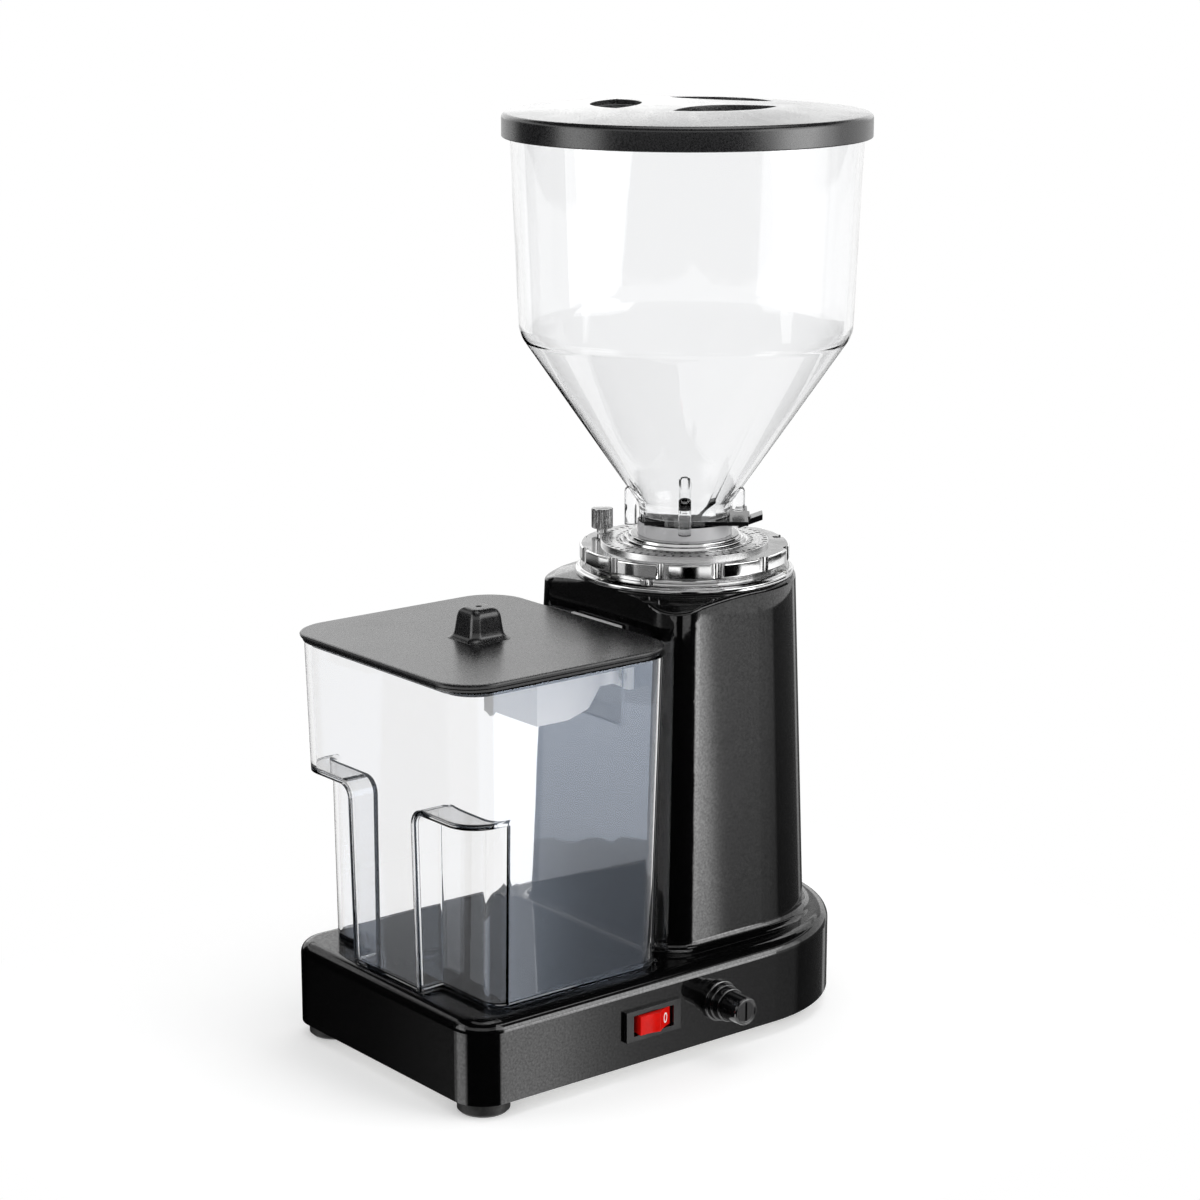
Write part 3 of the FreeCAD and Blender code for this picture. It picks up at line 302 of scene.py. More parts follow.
# %% Plan of the cards
PLAIN = (1.0, 1.0)
CARDS = (  # reach, low and top edge, light at these, then bearings with their brightness
    # the front of the base and its right corner
    (1.7, -1.2, -0.5, PLAIN, (
        (-8, 0), (86, 0), (91, 1.0), (97, 2.4), (118, 2.4), (124, 1.9), (128, 0.8), (134, 0.55),
        (139, 0.13), (142, 0.02), (146, 0), (170, 0))),
    # the front of the tower, and black on the left
    (1.7, -0.5, 0.0, PLAIN, ((-8, 0), (125, 0))),
    (1.7, 0.0, 0.5, PLAIN, ((-8, 0), (91, 0), (93, 1.6), (125, 2.2))),
    (1.7, -0.5, 0.8, PLAIN, ((125, 0), (170, 0))),
    (1.7, -1.2, 0.0, PLAIN, ((170, 0), (210, 0))),
    # the right side of the base
    (1.7, -1.2, -0.5, PLAIN, (
        (-150, 0.05), (-116, 0.08), (-114, 0.6), (-108, 0.6), (-106, 0.08), (-66, 0.06),
        (-60, 0.24), (-42, 0.34), (-40.3, 0.42), (-38.4, 0.54), (-37.2, 0.66), (-36.3, 0.82),
        (-35.4, 1.15), (-34.6, 1.75), (-33.8, 2.4), (-32.5, 2.7), (-20, 2.7), (-13, 0), (-8, 0))),
    # the right side of the tower, with its band of light
    (1.7, -0.5, -0.06, (0.64, 1.54), (
        (-150, 0.05), (-116, 0.08), (-114, 0.6), (-108, 0.6), (-106, 0.1), (-64, 0.1), (-60, 0.42),
        (-52, 0.6), (-42, 0.72), (-39.4, 0.92), (-39, 5.6), (-27, 5.6), (-20, 0), (-8, 0))),
    # the rounded edges above these sides, then the dark shoulder of the tower and all steep slopes
    (1.7, -0.06, 0.6, PLAIN, ((-66, 0.4), (-60, 2.2), (-45, 3.2), (-22, 3.2), (-19, 0.5), (-8, 0))),
    (0.35, 0.16, 0.29, PLAIN, ((-85, 0), (-5, 0))),
    (1.7, 1.35, 4.5, PLAIN, ((-180, 0), (180, 0))),
    # the top of the hopper's lid, then that of the container's lid
    (0.55, 0.445, 0.62, PLAIN, ((180, 1.7), (205, 1.9), (218, 3.0), (230, 2.2), (260, 2.0))),
    (3.0, 0.4, 0.82, PLAIN, ((190, 2.0), (214, 1.7), (250, 1.2))),
    (3.0, 0.82, 1.22, PLAIN, ((190, 1.6), (209, 1.4), (214, 0.95), (219, 0.55), (250, 0.4))),
    (3.0, 1.22, 2.1, PLAIN, ((190, 1.8), (214, 1.5), (250, 1.0))),
    # the adjusting ring
    (0.3, 0.158, 0.172, PLAIN, (
        (-180, 0.6), (-95, 0.6), (-91, 1.0), (-61, 1.5), (-29, 1.5), (-26, 0), (-6, 0), (-3, 1.5),
        (17, 1.5), (20, 0), (36, 0), (39, 1.5), (62, 1.5), (65, 0), (80, 0), (82, 1.3), (97, 1.3),
        (100, 0), (131, 0), (133, 1.3), (147, 1.3), (150, 0.2), (180, 0.3))))
print("cards planned:", len(CARDS))

# %% [markdown]
# ## Standing the cards up
# A card is an upright line swept about the tower. A colour ramp along its bearing carries the
# brightness, and a second ramp along its height lets the light swell or fade upwards.

# %% Cards
PEAK = 5.0
CARD_STEP = 3


def glow_round(board, start, end, stops):
    """The brightness at each bearing, as a ramp from one end of a card to the other."""
    half = math.radians(end - start) / 2
    centre = (start + end) / 2
    parts = [board.vector("DOT_PRODUCT", board.place, tuple(bearing(degrees, 1, 0)), out="Value")
             for degrees in (centre + 90, centre)]
    share = board.spread(parts[0].reckon("ARCTAN2", *parts), -half, half)
    ramp = board.add("ShaderNodeValToRGB", {}, {"Fac": share}, "Color")
    marks = ramp.output.node.color_ramp.elements
    for degrees, brightness in stops[1:-1]:
        marks.new((degrees - start) / (end - start))
    for mark, (degrees, brightness) in zip(marks, stops):
        mark.color = (brightness / PEAK, brightness / PEAK, brightness / PEAK, 1)
    return ramp


for number, (reach, low, top, fade, stops) in enumerate(CARDS, 1):
    start, end = stops[0][0], stops[-1][0]
    card_shape = bmesh.new()
    edge = [card_shape.verts.new(bearing(start, reach, height)) for height in (low, top)]
    post = card_shape.edges.new(edge)
    bmesh.ops.spin(card_shape, geom=edge + [post], cent=(0, 0, 0), axis=(0, 0, -1),
                   angle=math.radians(end - start), steps=math.ceil((end - start) / CARD_STEP))
    card_mesh = bpy.data.meshes.new(f"card_{number}")
    card_shape.to_mesh(card_mesh)
    card_shape.free()
    card = bpy.data.objects.new(f"card_{number}", card_mesh)
    scene.collection.objects.link(card)
    for kind in ("camera", "diffuse", "transmission", "volume_scatter", "shadow"):
        setattr(card, "visible_" + kind, False)
    board = Finish(f"card_{number}", Base_Color=(0, 0, 0), Roughness=1.0, Specular_IOR_Level=0.0)
    board.set(Emission_Color=glow_round(board, start, end, stops))
    strength = board.spread(board.along("Z"), low, top, fade[0] * PEAK, fade[1] * PEAK)
    board.set(Emission_Strength=strength)
    card_mesh.materials.append(board.material)
print("cards:", len(CARDS))

# %% [markdown]
# ## Finishes of the body
# The base and the tower are sprayed with a black enamel that holds fine metal flecks under a clear
# coat. The lids are moulded in black plastic with a spark-eroded grain, and the feet are rubber.


# %% Painted and moulded finishes
def black_enamel():
    finish = Finish("black_enamel", IOR=1.5, Specular_IOR_Level=0.03, Coat_Roughness=0.04,
                    Coat_IOR=1.56)
    fleck = finish.spread(finish.noise(0.5, 1.0), 0.6, 0.8)
    patch = finish.noise(40, 2.0)
    peel = finish.noise(1.1, 2.0)
    finish.set(Base_Color=finish.blend(fleck, (0.0008, 0.0008, 0.0009), (0.009, 0.009, 0.01)))
    finish.set(Metallic=fleck * 0.5)
    finish.set(Roughness=finish.spread(patch, 0.3, 0.7, 0.30, 0.36))
    finish.set(Coat_Weight=finish.spread(peel + patch * 0.2, 0.4, 0.8, 0.58, 1.0))
    finish.bump(peel, 0.002)
    return finish.material


def grained_plastic():
    finish = Finish("grained_plastic", IOR=1.62)
    grain = finish.noise(0.7, 3.0, rough=0.6)
    wear = finish.noise(26, 3.0)
    shade = finish.spread(grain, 0.35, 0.65)
    finish.set(Base_Color=finish.blend(shade, (0.004, 0.004, 0.0045), (0.013, 0.013, 0.014)))
    finish.set(Roughness=finish.spread(grain + wear * 0.4, 0.45, 0.95, 0.2, 0.34))
    finish.bump(grain, 0.02)
    return finish.material


def smooth_black(name, rough, gloss=0.5):
    finish = Finish(name, IOR=1.5, Specular_IOR_Level=gloss)
    cloud = finish.noise(9, 3.0)
    finish.set(Base_Color=finish.blend(cloud, (0.002, 0.002, 0.0022), (0.005, 0.005, 0.0055)))
    finish.set(Roughness=finish.spread(cloud, 0.3, 0.7, rough * 0.8, rough * 1.2))
    finish.bump(finish.noise(0.4, 2.0), 0.004)
    return finish.material


def foot_rubber():
    finish = Finish("foot_rubber", IOR=1.45)
    grain = finish.noise(0.35, 3.0)
    dust = finish.spread(finish.noise(5, 4.0), 0.5, 0.75)
    finish.set(Base_Color=finish.blend(dust, (0.012, 0.012, 0.012), (0.035, 0.034, 0.033)))
    finish.set(Roughness=finish.spread(grain, 0.3, 0.7, 0.45, 0.62))
    finish.bump(grain, 0.05)
    return finish.material


enamel = black_enamel()
lid_plastic = grained_plastic()
moulding = smooth_black("smooth_black", 0.18)
fuse_black = smooth_black("fuse_black", 0.08, 1.0)
rubber = foot_rubber()
print("finishes:", [finish.name for finish in (enamel, lid_plastic, moulding, fuse_black, rubber)])

# %% [markdown]
# ## Bright metal
# The adjusting ring and its neighbours are plated and polished, so they mirror the studio. A little
# roughness that varies, and turning marks too fine to count, keep them from looking like a mirror
# ball.


# %% Metal finishes
def polished_plate(name, light):
    finish = Finish(name, Metallic=1.0)
    smear = finish.noise(11, 3.0)
    finish.set(Base_Color=finish.blend(smear, tuple(value * 0.9 for value in light), light))
    finish.set(Roughness=finish.spread(smear, 0.3, 0.7, 0.05, 0.12))
    finish.bump(finish.noise(3.5, 2.0), 0.004)
    return finish.material


MARK_WIDE = 0.5


def turned_metal(name, light, rough):
    """Metal cut on a lathe: rings of fine marks about the tower's axis."""
    finish = Finish(name, Metallic=1.0)
    from_axis = finish.vector("SUBTRACT", finish.place, tuple(axis))
    reach = finish.vector("LENGTH", finish.vector("MULTIPLY", from_axis, (1, 1, 0)), out="Value")
    mark = finish.add("ShaderNodeTexNoise", {"noise_dimensions": "1D"},
                      {"W": reach, "Scale": 1 / (MARK_WIDE * MM), "Detail": 3.0}, "Fac")
    dark = tuple(value * 0.8 for value in light)
    finish.set(Base_Color=finish.blend(finish.spread(mark, 0.3, 0.7), dark, light))
    finish.set(Roughness=finish.spread(mark, 0.3, 0.7, rough * 0.8, rough * 1.3))
    finish.bump(mark, 0.015)
    return finish.material


def plain_metal(name, light, rough, grain_size=0.6, depth=0.01):
    """Ground, plated or cast metal with an even grain."""
    finish = Finish(name, Metallic=1.0)
    grain = finish.noise(grain_size, 3.0)
    cloud = finish.noise(grain_size * 14, 3.0)
    dark = tuple(value * 0.72 for value in light)
    finish.set(Base_Color=finish.blend(cloud, dark, light))
    finish.set(Roughness=finish.spread(grain, 0.3, 0.7, rough * 0.75, rough * 1.25))
    finish.bump(grain, depth)
    return finish.material


plate = polished_plate("polished_plate", (0.88, 0.88, 0.88))
bright_ring = polished_plate("bright_ring", (0.82, 0.82, 0.82))
satin = turned_metal("satin_scale", (0.62, 0.62, 0.62), 0.26)
turned_plate = turned_metal("turned_plate", (0.66, 0.66, 0.66), 0.12)
turned_steel = turned_metal("turned_steel", (0.62, 0.62, 0.63), 0.22)
knurled = plain_metal("knurled_steel", (0.52, 0.52, 0.52), 0.13)
zinc = plain_metal("zinc_plate", (0.66, 0.66, 0.63), 0.3)
sheet = plain_metal("plated_sheet", (0.62, 0.62, 0.60), 0.34, 1.5, 0.02)
cast = plain_metal("cast_alloy", (0.56, 0.56, 0.57), 0.5, 0.9, 0.08)
print("metals ready")

# %% [markdown]
# ## Clear plastic
# The hopper and the container are moulded in clear plastic about three millimetres thick. The wall
# has an inside and an outside face, so that light bends through it as it does through the real one.


# %% Clear and coloured plastics
def clear_plastic(name, tint, sheen, rough):
    finish = Finish(name, Base_Color=tint, Transmission_Weight=1.0, IOR=1.47, Specular_Tint=sheen)
    ripple = finish.noise(28, 2.0)
    finish.set(Roughness=finish.spread(finish.noise(14, 3.0), 0.3, 0.7, rough * 0.4, rough))
    finish.bump(ripple, 0.05)
    return finish.material


def coloured_plastic(name, light, dark, rough, grain_size=0.5, depth=0.01, gloss=0.5):
    finish = Finish(name, IOR=1.49, Specular_IOR_Level=gloss)
    cloud = finish.noise(grain_size * 20, 3.0)
    finish.set(Base_Color=finish.blend(cloud, dark, light))
    finish.set(Roughness=finish.spread(cloud, 0.3, 0.7, rough * 0.8, rough * 1.2))
    finish.bump(finish.noise(grain_size, 2.0), depth)
    return finish.material


hopper_clear = clear_plastic("hopper_clear", (0.985, 0.988, 0.992), (1, 1, 1), 0.02)
container_clear = clear_plastic("container_clear", (0.972, 0.978, 0.99), (0.68, 0.8, 1), 0.03)
chute_white = coloured_plastic("chute_white", (0.86, 0.86, 0.86), (0.80, 0.80, 0.81), 0.32)
print("plastics ready")


# %% Dress the solids that stay
def dress(finish, *names):
    for name in names:
        nodes[name].material_slots[0].material = finish


dress(enamel, "base_shell", "tower_housing")
feet = [name for name in nodes if name.startswith("foot_") and "screw" not in name]
dress(rubber, *feet, "cord_grommet")
dress(zinc, *[name for name in nodes if "screw" in name or "bolt" in name or name == "burr_nut"])
dress(moulding, "switch_bezel", "fuse_holder_nut", "shutter_gate")
dress(fuse_black, "fuse_holder", "fuse_cap")
dress(plate, "top_flange", "adjusting_ring", "hopper_collar", "pointer_pin")
dress(satin, "scale_disc")
dress(knurled, "index_knob")
dress(hopper_clear, "hopper")
dress(container_clear, "container")
dress(lid_plastic, "hopper_lid", "container_lid")
dress(chute_white, "outlet_chute")

# %% [markdown]
# ## Inside finishes
# The motor and the switch gear are seen only when the grinder is opened in a view from below or in
# parts, but each still says what it is: stacked steel, enamelled wire, pale plastic, glass.

# %% Finishes of the inner parts
SHEET_THICK = 0.5
CAP_ENDS, CAP_EDGE = (68, 78), 0.2


def stacked_steel():
    finish = Finish("stacked_steel", Metallic=1.0)
    layers = finish.along("Z") * (1 / (SHEET_THICK * MM))
    layer = finish.add("ShaderNodeMath", {"operation": "FRACT"}, {0: layers})
    edge = finish.spread(layer, 0.0, 0.25)
    finish.set(Base_Color=finish.blend(edge, (0.10, 0.10, 0.11), (0.34, 0.34, 0.35)))
    finish.set(Roughness=finish.spread(finish.noise(2.0, 3.0), 0.3, 0.7, 0.4, 0.55))
    finish.bump(edge, 0.05)
    return finish.material


def copper_wire():
    finish = Finish("copper_wire", Metallic=0.9, Coat_Roughness=0.15)
    strand = finish.noise(0.7, 2.0, finish.stretched((1, 1, 0.12)))
    shade = finish.spread(strand, 0.35, 0.65)
    finish.set(Base_Color=finish.blend(shade, (0.30, 0.11, 0.04), (0.62, 0.27, 0.10)))
    finish.set(Roughness=finish.spread(strand, 0.3, 0.7, 0.25, 0.4))
    finish.set(Coat_Weight=finish.spread(strand, 0.3, 0.7, 0.3, 0.6))
    finish.bump(strand, 0.15)
    return finish.material


def glass_tube():
    """Clear between two metal caps."""
    finish = Finish("glass_tube", Transmission_Weight=0.9, IOR=1.5)
    along = finish.along("X")
    inner, outer = [finish.spread(along, axis.x + end * MM, axis.x + (end + CAP_EDGE) * MM)
                    for end in CAP_ENDS]
    finish.set(Metallic=finish.spread((1 - inner) + outer, 0, 1))
    finish.set(Roughness=finish.spread(finish.noise(1.5), 0.3, 0.7, 0.05, 0.14))
    finish.set(Base_Color=finish.blend(finish.noise(2.5), (0.80, 0.82, 0.82), (0.9, 0.91, 0.91)))
    return finish.material


laminations = stacked_steel()
wire = copper_wire()
tube = glass_tube()
pale_case = coloured_plastic("pale_case", (0.74, 0.73, 0.70), (0.66, 0.65, 0.62), 0.45, 0.4, 0.02)
fan_plastic = coloured_plastic(
    "fan_plastic", (0.16, 0.16, 0.17), (0.11, 0.11, 0.12), 0.5, 0.4, 0.03)
dress(sheet, "base_plate", "capacitor_clip")
dress(cast, "motor_lower_bell", "motor_upper_bell", "grinding_chamber", "burr_carrier",
      "upper_burr_holder")
dress(turned_steel, "lower_bearing", "upper_bearing", "motor_shaft", "lower_burr", "upper_burr")
dress(laminations, "motor_stator", "motor_rotor")
dress(wire, "motor_windings")
dress(tube, "fuse_link")
dress(pale_case, "run_capacitor", "terminal_block")
dress(fan_plastic, "cooling_fan")
bare = [name for name, solid in nodes.items()
        if solid.material_slots[0].material.name.startswith("slot")]
print("solids dressed, left over:", bare)

# %% [markdown]
# ## Three ways to shape a piece
# A round piece is half an outline spun about an axis, as on a lathe. A box-like piece is a rounded
# plate that is drawn up level by level. Openings are cut with passing solids, which are thrown away
# afterwards. Every shape is built about the tower's axis, and is moved into the frame at the very
# end. Its shading leans on its large faces, so that a flat top stays flat beside its small rounded
# edge.

# %% Lathe
SEAM = 0.001 * MM
FINE = 144


def rounded(shape, parts, size, bend, kind="VERTICES", clamp=False):
    """Bevel corners or edges into arcs of some millimetres."""
    bmesh.ops.bevel(shape, geom=parts, offset=size * MM, offset_type="OFFSET", affect=kind,
                    segments=bend, profile=0.5, material=-1, clamp_overlap=clamp)


def lathe(outline, steps, bend=5):
    """Spin a closed outline of (radius, height) corners; a third number rounds that corner."""
    shape = bmesh.new()
    corners = [shape.verts.new((corner[0] * MM, 0, corner[1] * MM)) for corner in outline]
    for first, second in zip(corners, corners[1:] + corners[:1]):
        if first.co.x > 0 or second.co.x > 0:
            shape.edges.new((first, second))
    for corner, sizes in zip(corners, outline):
        if len(sizes) > 2:
            rounded(shape, [corner], sizes[2], bend)
    bmesh.ops.spin(shape, geom=shape.verts[:] + shape.edges[:], cent=(0, 0, 0), axis=(0, 0, 1),
                   angle=FULL_TURN, steps=steps, use_merge=True)
    return closed(shape)


def closed(shape):
    """Weld the seams and turn all faces outwards."""
    bmesh.ops.remove_doubles(shape, verts=shape.verts, dist=SEAM)
    bmesh.ops.recalc_face_normals(shape, faces=shape.faces)
    return shape


def rod(radius, low, high, steps=32):
    return lathe([(0, low), (radius, low), (radius, high), (0, high)], steps)


def moved(shape, place=(0, 0, 0), turn=Matrix()):
    """Turn a shape about its own axis, then carry it to a place in millimetres."""
    move = Matrix.Translation(Vector(place) * MM) @ turn
    bmesh.ops.transform(shape, matrix=move, verts=shape.verts)
    return shape


def round_spot(ring, degrees, height=0):
    turn = math.radians(degrees)
    return (ring * math.cos(turn), ring * math.sin(turn), height)


def spun(degrees):
    return Matrix.Rotation(math.radians(degrees), 4, "Z")


print("lathe ready")


# %% Plates and blocks
def drawn(shape, face, way):
    """Draw a face along a way in millimetres, and give back the new face."""
    grown = bmesh.ops.extrude_face_region(shape, geom=[face])["geom"]
    spots = [part for part in grown if isinstance(part, bmesh.types.BMVert)]
    bmesh.ops.translate(shape, verts=spots, vec=[length * MM for length in way])
    return next(part for part in grown if isinstance(part, bmesh.types.BMFace))


def stack(half_x, front, back, corner, levels, bend=10):
    """A rounded plate drawn up through (height, inset) levels, closed below and above."""
    half_y = (back - front) / 2
    shape = bmesh.new()
    bmesh.ops.create_grid(shape, x_segments=1, y_segments=1, size=1)
    bmesh.ops.scale(shape, verts=shape.verts, vec=(half_x * MM, half_y * MM, 1))
    rounded(shape, shape.verts[:], corner, bend)
    top = shape.faces[:][0]
    height, inset = 0, 0
    for number, (next_height, next_inset) in enumerate(levels):
        if number > 0:
            below = top
            top = drawn(shape, below, (0, 0, 0))
            if number > 1:
                bmesh.ops.delete(shape, geom=[below], context="FACES_ONLY")
        wide = (half_x - next_inset) / (half_x - inset)
        deep = (half_y - next_inset) / (half_y - inset)
        bmesh.ops.scale(shape, verts=top.verts, vec=(wide, deep, 1))
        bmesh.ops.translate(shape, verts=top.verts, vec=(0, 0, (next_height - height) * MM))
        height, inset = next_height, next_inset
    return closed(moved(shape, (0, (front + back) / 2, 0)))


def block(low, high):
    shape = bmesh.new()
    bmesh.ops.create_cube(shape, size=1)
    bmesh.ops.scale(shape, verts=shape.verts, vec=(Vector(high) - Vector(low)) * MM)
    return moved(shape, (Vector(high) + Vector(low)) / 2)


def soften(shape, width, segments=3, over=40, where=None):
    """Round the edges that fold by more than some degrees."""
    fold = math.radians(over)
    edges = [edge for edge in shape.edges
             if len(edge.link_faces) == 2 and edge.calc_face_angle() > fold]
    if where:
        edges = [edge for edge in edges if where((edge.verts[0].co + edge.verts[1].co) / 2 / MM)]
    rounded(shape, edges, width, segments, "EDGES", True)
    return shape


print("plates ready")


# %% Cutting and joining
def passing(shape):
    mesh = bpy.data.meshes.new("passing")
    shape.to_mesh(mesh)
    shape.free()
    item = bpy.data.objects.new("passing", mesh)
    scene.collection.objects.link(item)
    return item


def evaluated(item):
    """The shape of an object as its modifiers leave it."""
    graph = bpy.context.evaluated_depsgraph_get()
    mesh = bpy.data.meshes.new_from_object(item.evaluated_get(graph))
    shape = bmesh.new()
    shape.from_mesh(mesh)
    bpy.data.meshes.remove(mesh)
    return shape


def merged(shape, degrees):
    """Weld the seams, and merge faces that fold by less than some degrees."""
    bmesh.ops.remove_doubles(shape, verts=shape.verts, dist=SEAM)
    bmesh.ops.dissolve_limit(shape, angle_limit=math.radians(degrees), verts=shape.verts,
                             edges=shape.edges)
    return shape


def worked(item, *helpers):
    """The shape of a passing solid after its modifiers; the solids are thrown away."""
    shape = evaluated(item)
    for old in (item, *helpers):
        bpy.data.meshes.remove(old.data)
    return merged(shape, 0.5)


def combined(operation, shape, tools):
    item = passing(shape)
    helpers = [passing(tool) for tool in tools]
    for helper in helpers:
        step = item.modifiers.new("step", "BOOLEAN")
        step.operation = operation
        step.solver = "EXACT"
        step.object = helper
    return worked(item, *helpers)


def cut(shape, *tools):
    return combined("DIFFERENCE", shape, tools)


def joined(shape, *tools):
    return combined("UNION", shape, tools)


def settle(name, shape, finish, body, *stands_for, slot=None, crease=35):
    """Move a shape into the frame, shade it, and let it ride on its body."""
    bmesh.ops.translate(shape, verts=shape.verts, vec=axis)
    mesh = bpy.data.meshes.new(name)
    shape.to_mesh(mesh)
    shape.free()
    spare = mesh.attributes.get("custom_normal")
    if spare:
        mesh.attributes.remove(spare)
    mesh.shade_smooth()
    mesh.set_sharp_from_angle(angle=math.radians(crease))
    mesh.materials.clear()
    mesh.materials.append(finish)
    piece = bpy.data.objects.new(name, mesh)
    scene.collection.objects.link(piece)
    flats = piece.modifiers.new("flats", "WEIGHTED_NORMAL")
    flats.keep_sharp = True
    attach(piece, body)
    if stands_for:
        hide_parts(*stands_for)
    print(name, "faces:", len(mesh.polygons))


print("cutting ready")

# %% [markdown]
# ## Foot of the tower
# The tower runs out into the base in a hollow curve, which shows as a bright line. The tower's
# plan, square in front and round behind, is drawn a little wider, its middle is raised, and the
# inner edge between is rounded.

# %% Foot of the tower
BASE_TOP, FOOT_CURVE, FOOT_SEAM = 46.5, 4.5, 0.06
TOWER_HALF, TOWER_FRONT, TOWER_CORNER = 58.9, -56.9, 16
wide, front = TOWER_HALF + FOOT_CURVE, TOWER_FRONT - FOOT_CURVE

foot = bmesh.new()
bmesh.ops.create_grid(foot, x_segments=1, y_segments=1, size=1)
bmesh.ops.scale(foot, verts=foot.verts, vec=(wide * MM, (wide - front) / 2 * MM, 1))
moved(foot, (0, (wide + front) / 2, BASE_TOP - FOOT_SEAM))
back_corners = [spot for spot in foot.verts if spot.co.y > 0]
front_corners = [spot for spot in foot.verts if spot.co.y < 0]
rounded(foot, back_corners, wide, 48)
rounded(foot, front_corners, TOWER_CORNER + FOOT_CURVE, 12)
bmesh.ops.remove_doubles(foot, verts=foot.verts, dist=SEAM)
plan = drawn(foot, foot.faces[:][0], (0, 0, 2 * FOOT_SEAM))
bmesh.ops.inset_region(foot, faces=[plan], thickness=FOOT_CURVE * MM, use_even_offset=True)
drawn(foot, plan, (0, 0, FOOT_CURVE))
bmesh.ops.delete(foot, geom=[plan], context="FACES_ONLY")
closed(foot)
hollow = [edge for edge in foot.edges if not edge.is_convex and edge.calc_face_angle() > 1]
rounded(foot, hollow, FOOT_CURVE - 0.05, 8, "EDGES")
settle("tower_foot", foot, enamel, "base", slot="gloss_black")

# %% [markdown]
# ## Hopper
# The hopper is one clear moulding: a neck, a cone and a drum that flares a little. The spun wall
# gets its locating posts and the fin beside the gate as joined solids, and a slot for the gate is
# cut through it.

# %% Hopper
GATE_ANGLE = 50
vessel = lathe([
    (18.6, 212, 0.6), (21.6, 212, 0.6), (21.6, 245, 3), (78.3, 327, 4), (82.4, 426, 0.8),
    (79.4, 426, 0.8), (75.3, 328.5, 3), (18.6, 246.5, 2.5)], FINE)
posts = []
for degrees, low in ((-40, 234.5), (-130, 234.5), (140, 234.5), (GATE_ANGLE, 241.6)):
    post = lathe([(0, low), (3, low, 0.6), (3, 253.5, 2.6), (0, 253.5)], 24)
    posts.append(moved(post, round_spot(25.6, degrees)))
fin_corners = ((3.6, 0, 240.7), (14.5, 0, 240.7), (14.5, 0, 253.2))
fin = bmesh.new()
tip = [fin.verts.new(Vector(spot) * MM) for spot in fin_corners]
drawn(fin, fin.faces.new(tip), (0, 1.8, 0))
posts.append(moved(closed(fin), round_spot(-22, GATE_ANGLE + 90), spun(GATE_ANGLE)))
vessel = joined(vessel, *posts)
gate_slot = block((-19.4, -19.4, 237.6), (26, 19.4, 240.4))
vessel = cut(vessel, moved(gate_slot, turn=spun(GATE_ANGLE)))
settle("hopper_vessel", vessel, hopper_clear, "hopper", "hopper", slot="clear_plastic", crease=50)

# %% [markdown]
# ## Lids
# Both lids are black mouldings with a fine grain. The hopper's lid is spun and pierced by three
# leaf-shaped openings, each the overlap of two wide rods. The container's lid is a plate with a
# groove round its edge.

# %% Hopper lid
LEAF_LONG, LEAF_WIDE, LEAF_RING = 27.5, 12, 33
leaf_arc = (LEAF_LONG ** 2 + LEAF_WIDE ** 2) / (2 * LEAF_WIDE)
cover = lathe([
    (0, 431.8), (50, 430.4), (83.2, 426.2), (83.2, 418.5), (86, 418.5, 0.6), (86, 429.4, 2.2),
    (50, 433), (0, 434.4)], FINE)
leaves = []
for degrees in (-9, 111, 231):
    inner = round_spot(LEAF_RING + LEAF_WIDE - leaf_arc, degrees)
    outer = round_spot(LEAF_RING - LEAF_WIDE + leaf_arc, degrees)
    near, far = [moved(rod(leaf_arc, 415, 440, FINE), spot) for spot in (inner, outer)]
    leaves.append(combined("INTERSECT", near, [far]))
cover = cut(cover, *leaves)
soften(cover, 0.7, 3, 50, lambda spot: math.hypot(spot.x, spot.y) < 60)
settle("hopper_cover", cover, lid_plastic, "hopper_lid", "hopper_lid", slot="lid_plastic")

# %% Container lid
plate_top = stack(69.5, -183, -59.6, 20, [
    (194.3, 1.8), (194.7, 1.2), (195.8, 0.8), (195.9, 1.5), (196.4, 1.4), (196.5, 0.3), (197.5, 0),
    (198.1, 0.35), (198.5, 1.1), (198.5, 1.8)], 12)
skirt = cut(
    stack(64.5, -175.5, -64.5, 13, [(191.9, 0), (195, 0)]),
    stack(62.5, -173.5, -66.5, 11, [(180, 0), (194.3, 0)]),
    block((-29, -71, 180), (29, 0, 194.3)))
grip = stack(12, -134, -110, 5.5, [
    (197.5, 0), (198.6, 0.2), (199, 1), (199.7, 2), (201, 2.7), (203.5, 3.1), (208.8, 3.8),
    (210.6, 4.3), (211.8, 5), (212.6, 6), (213, 7.4), (213, 8)], 8)
dimple = moved(rod(1.5, 211.4, 220, 24), (0, -122, 0))
cover = joined(plate_top, skirt, cut(grip, dimple))
settle("container_cover", cover, lid_plastic, "container_lid", "container_lid", slot="lid_plastic",
       crease=30)

# %% [markdown]
# ## Container
# The container is a clear box that widens upwards, with two finger recesses low on its front. The
# outside is made as a solid first: drawn up, cut, and softened. Then the top is opened and the wall
# gets its thickness. Each recess is cut by a block with one hollow corner, which leaves the box a
# rounded corner of its own.

# %% Container
CAN_WALL, CAN_LOW, CAN_SLOPE = 2.6, 46.8, math.tan(math.radians(1.3))
RECESS_LOW, RECESS_TOP, RECESS_CORNER, RECESS_ROUND = 30, 132, 9, 6


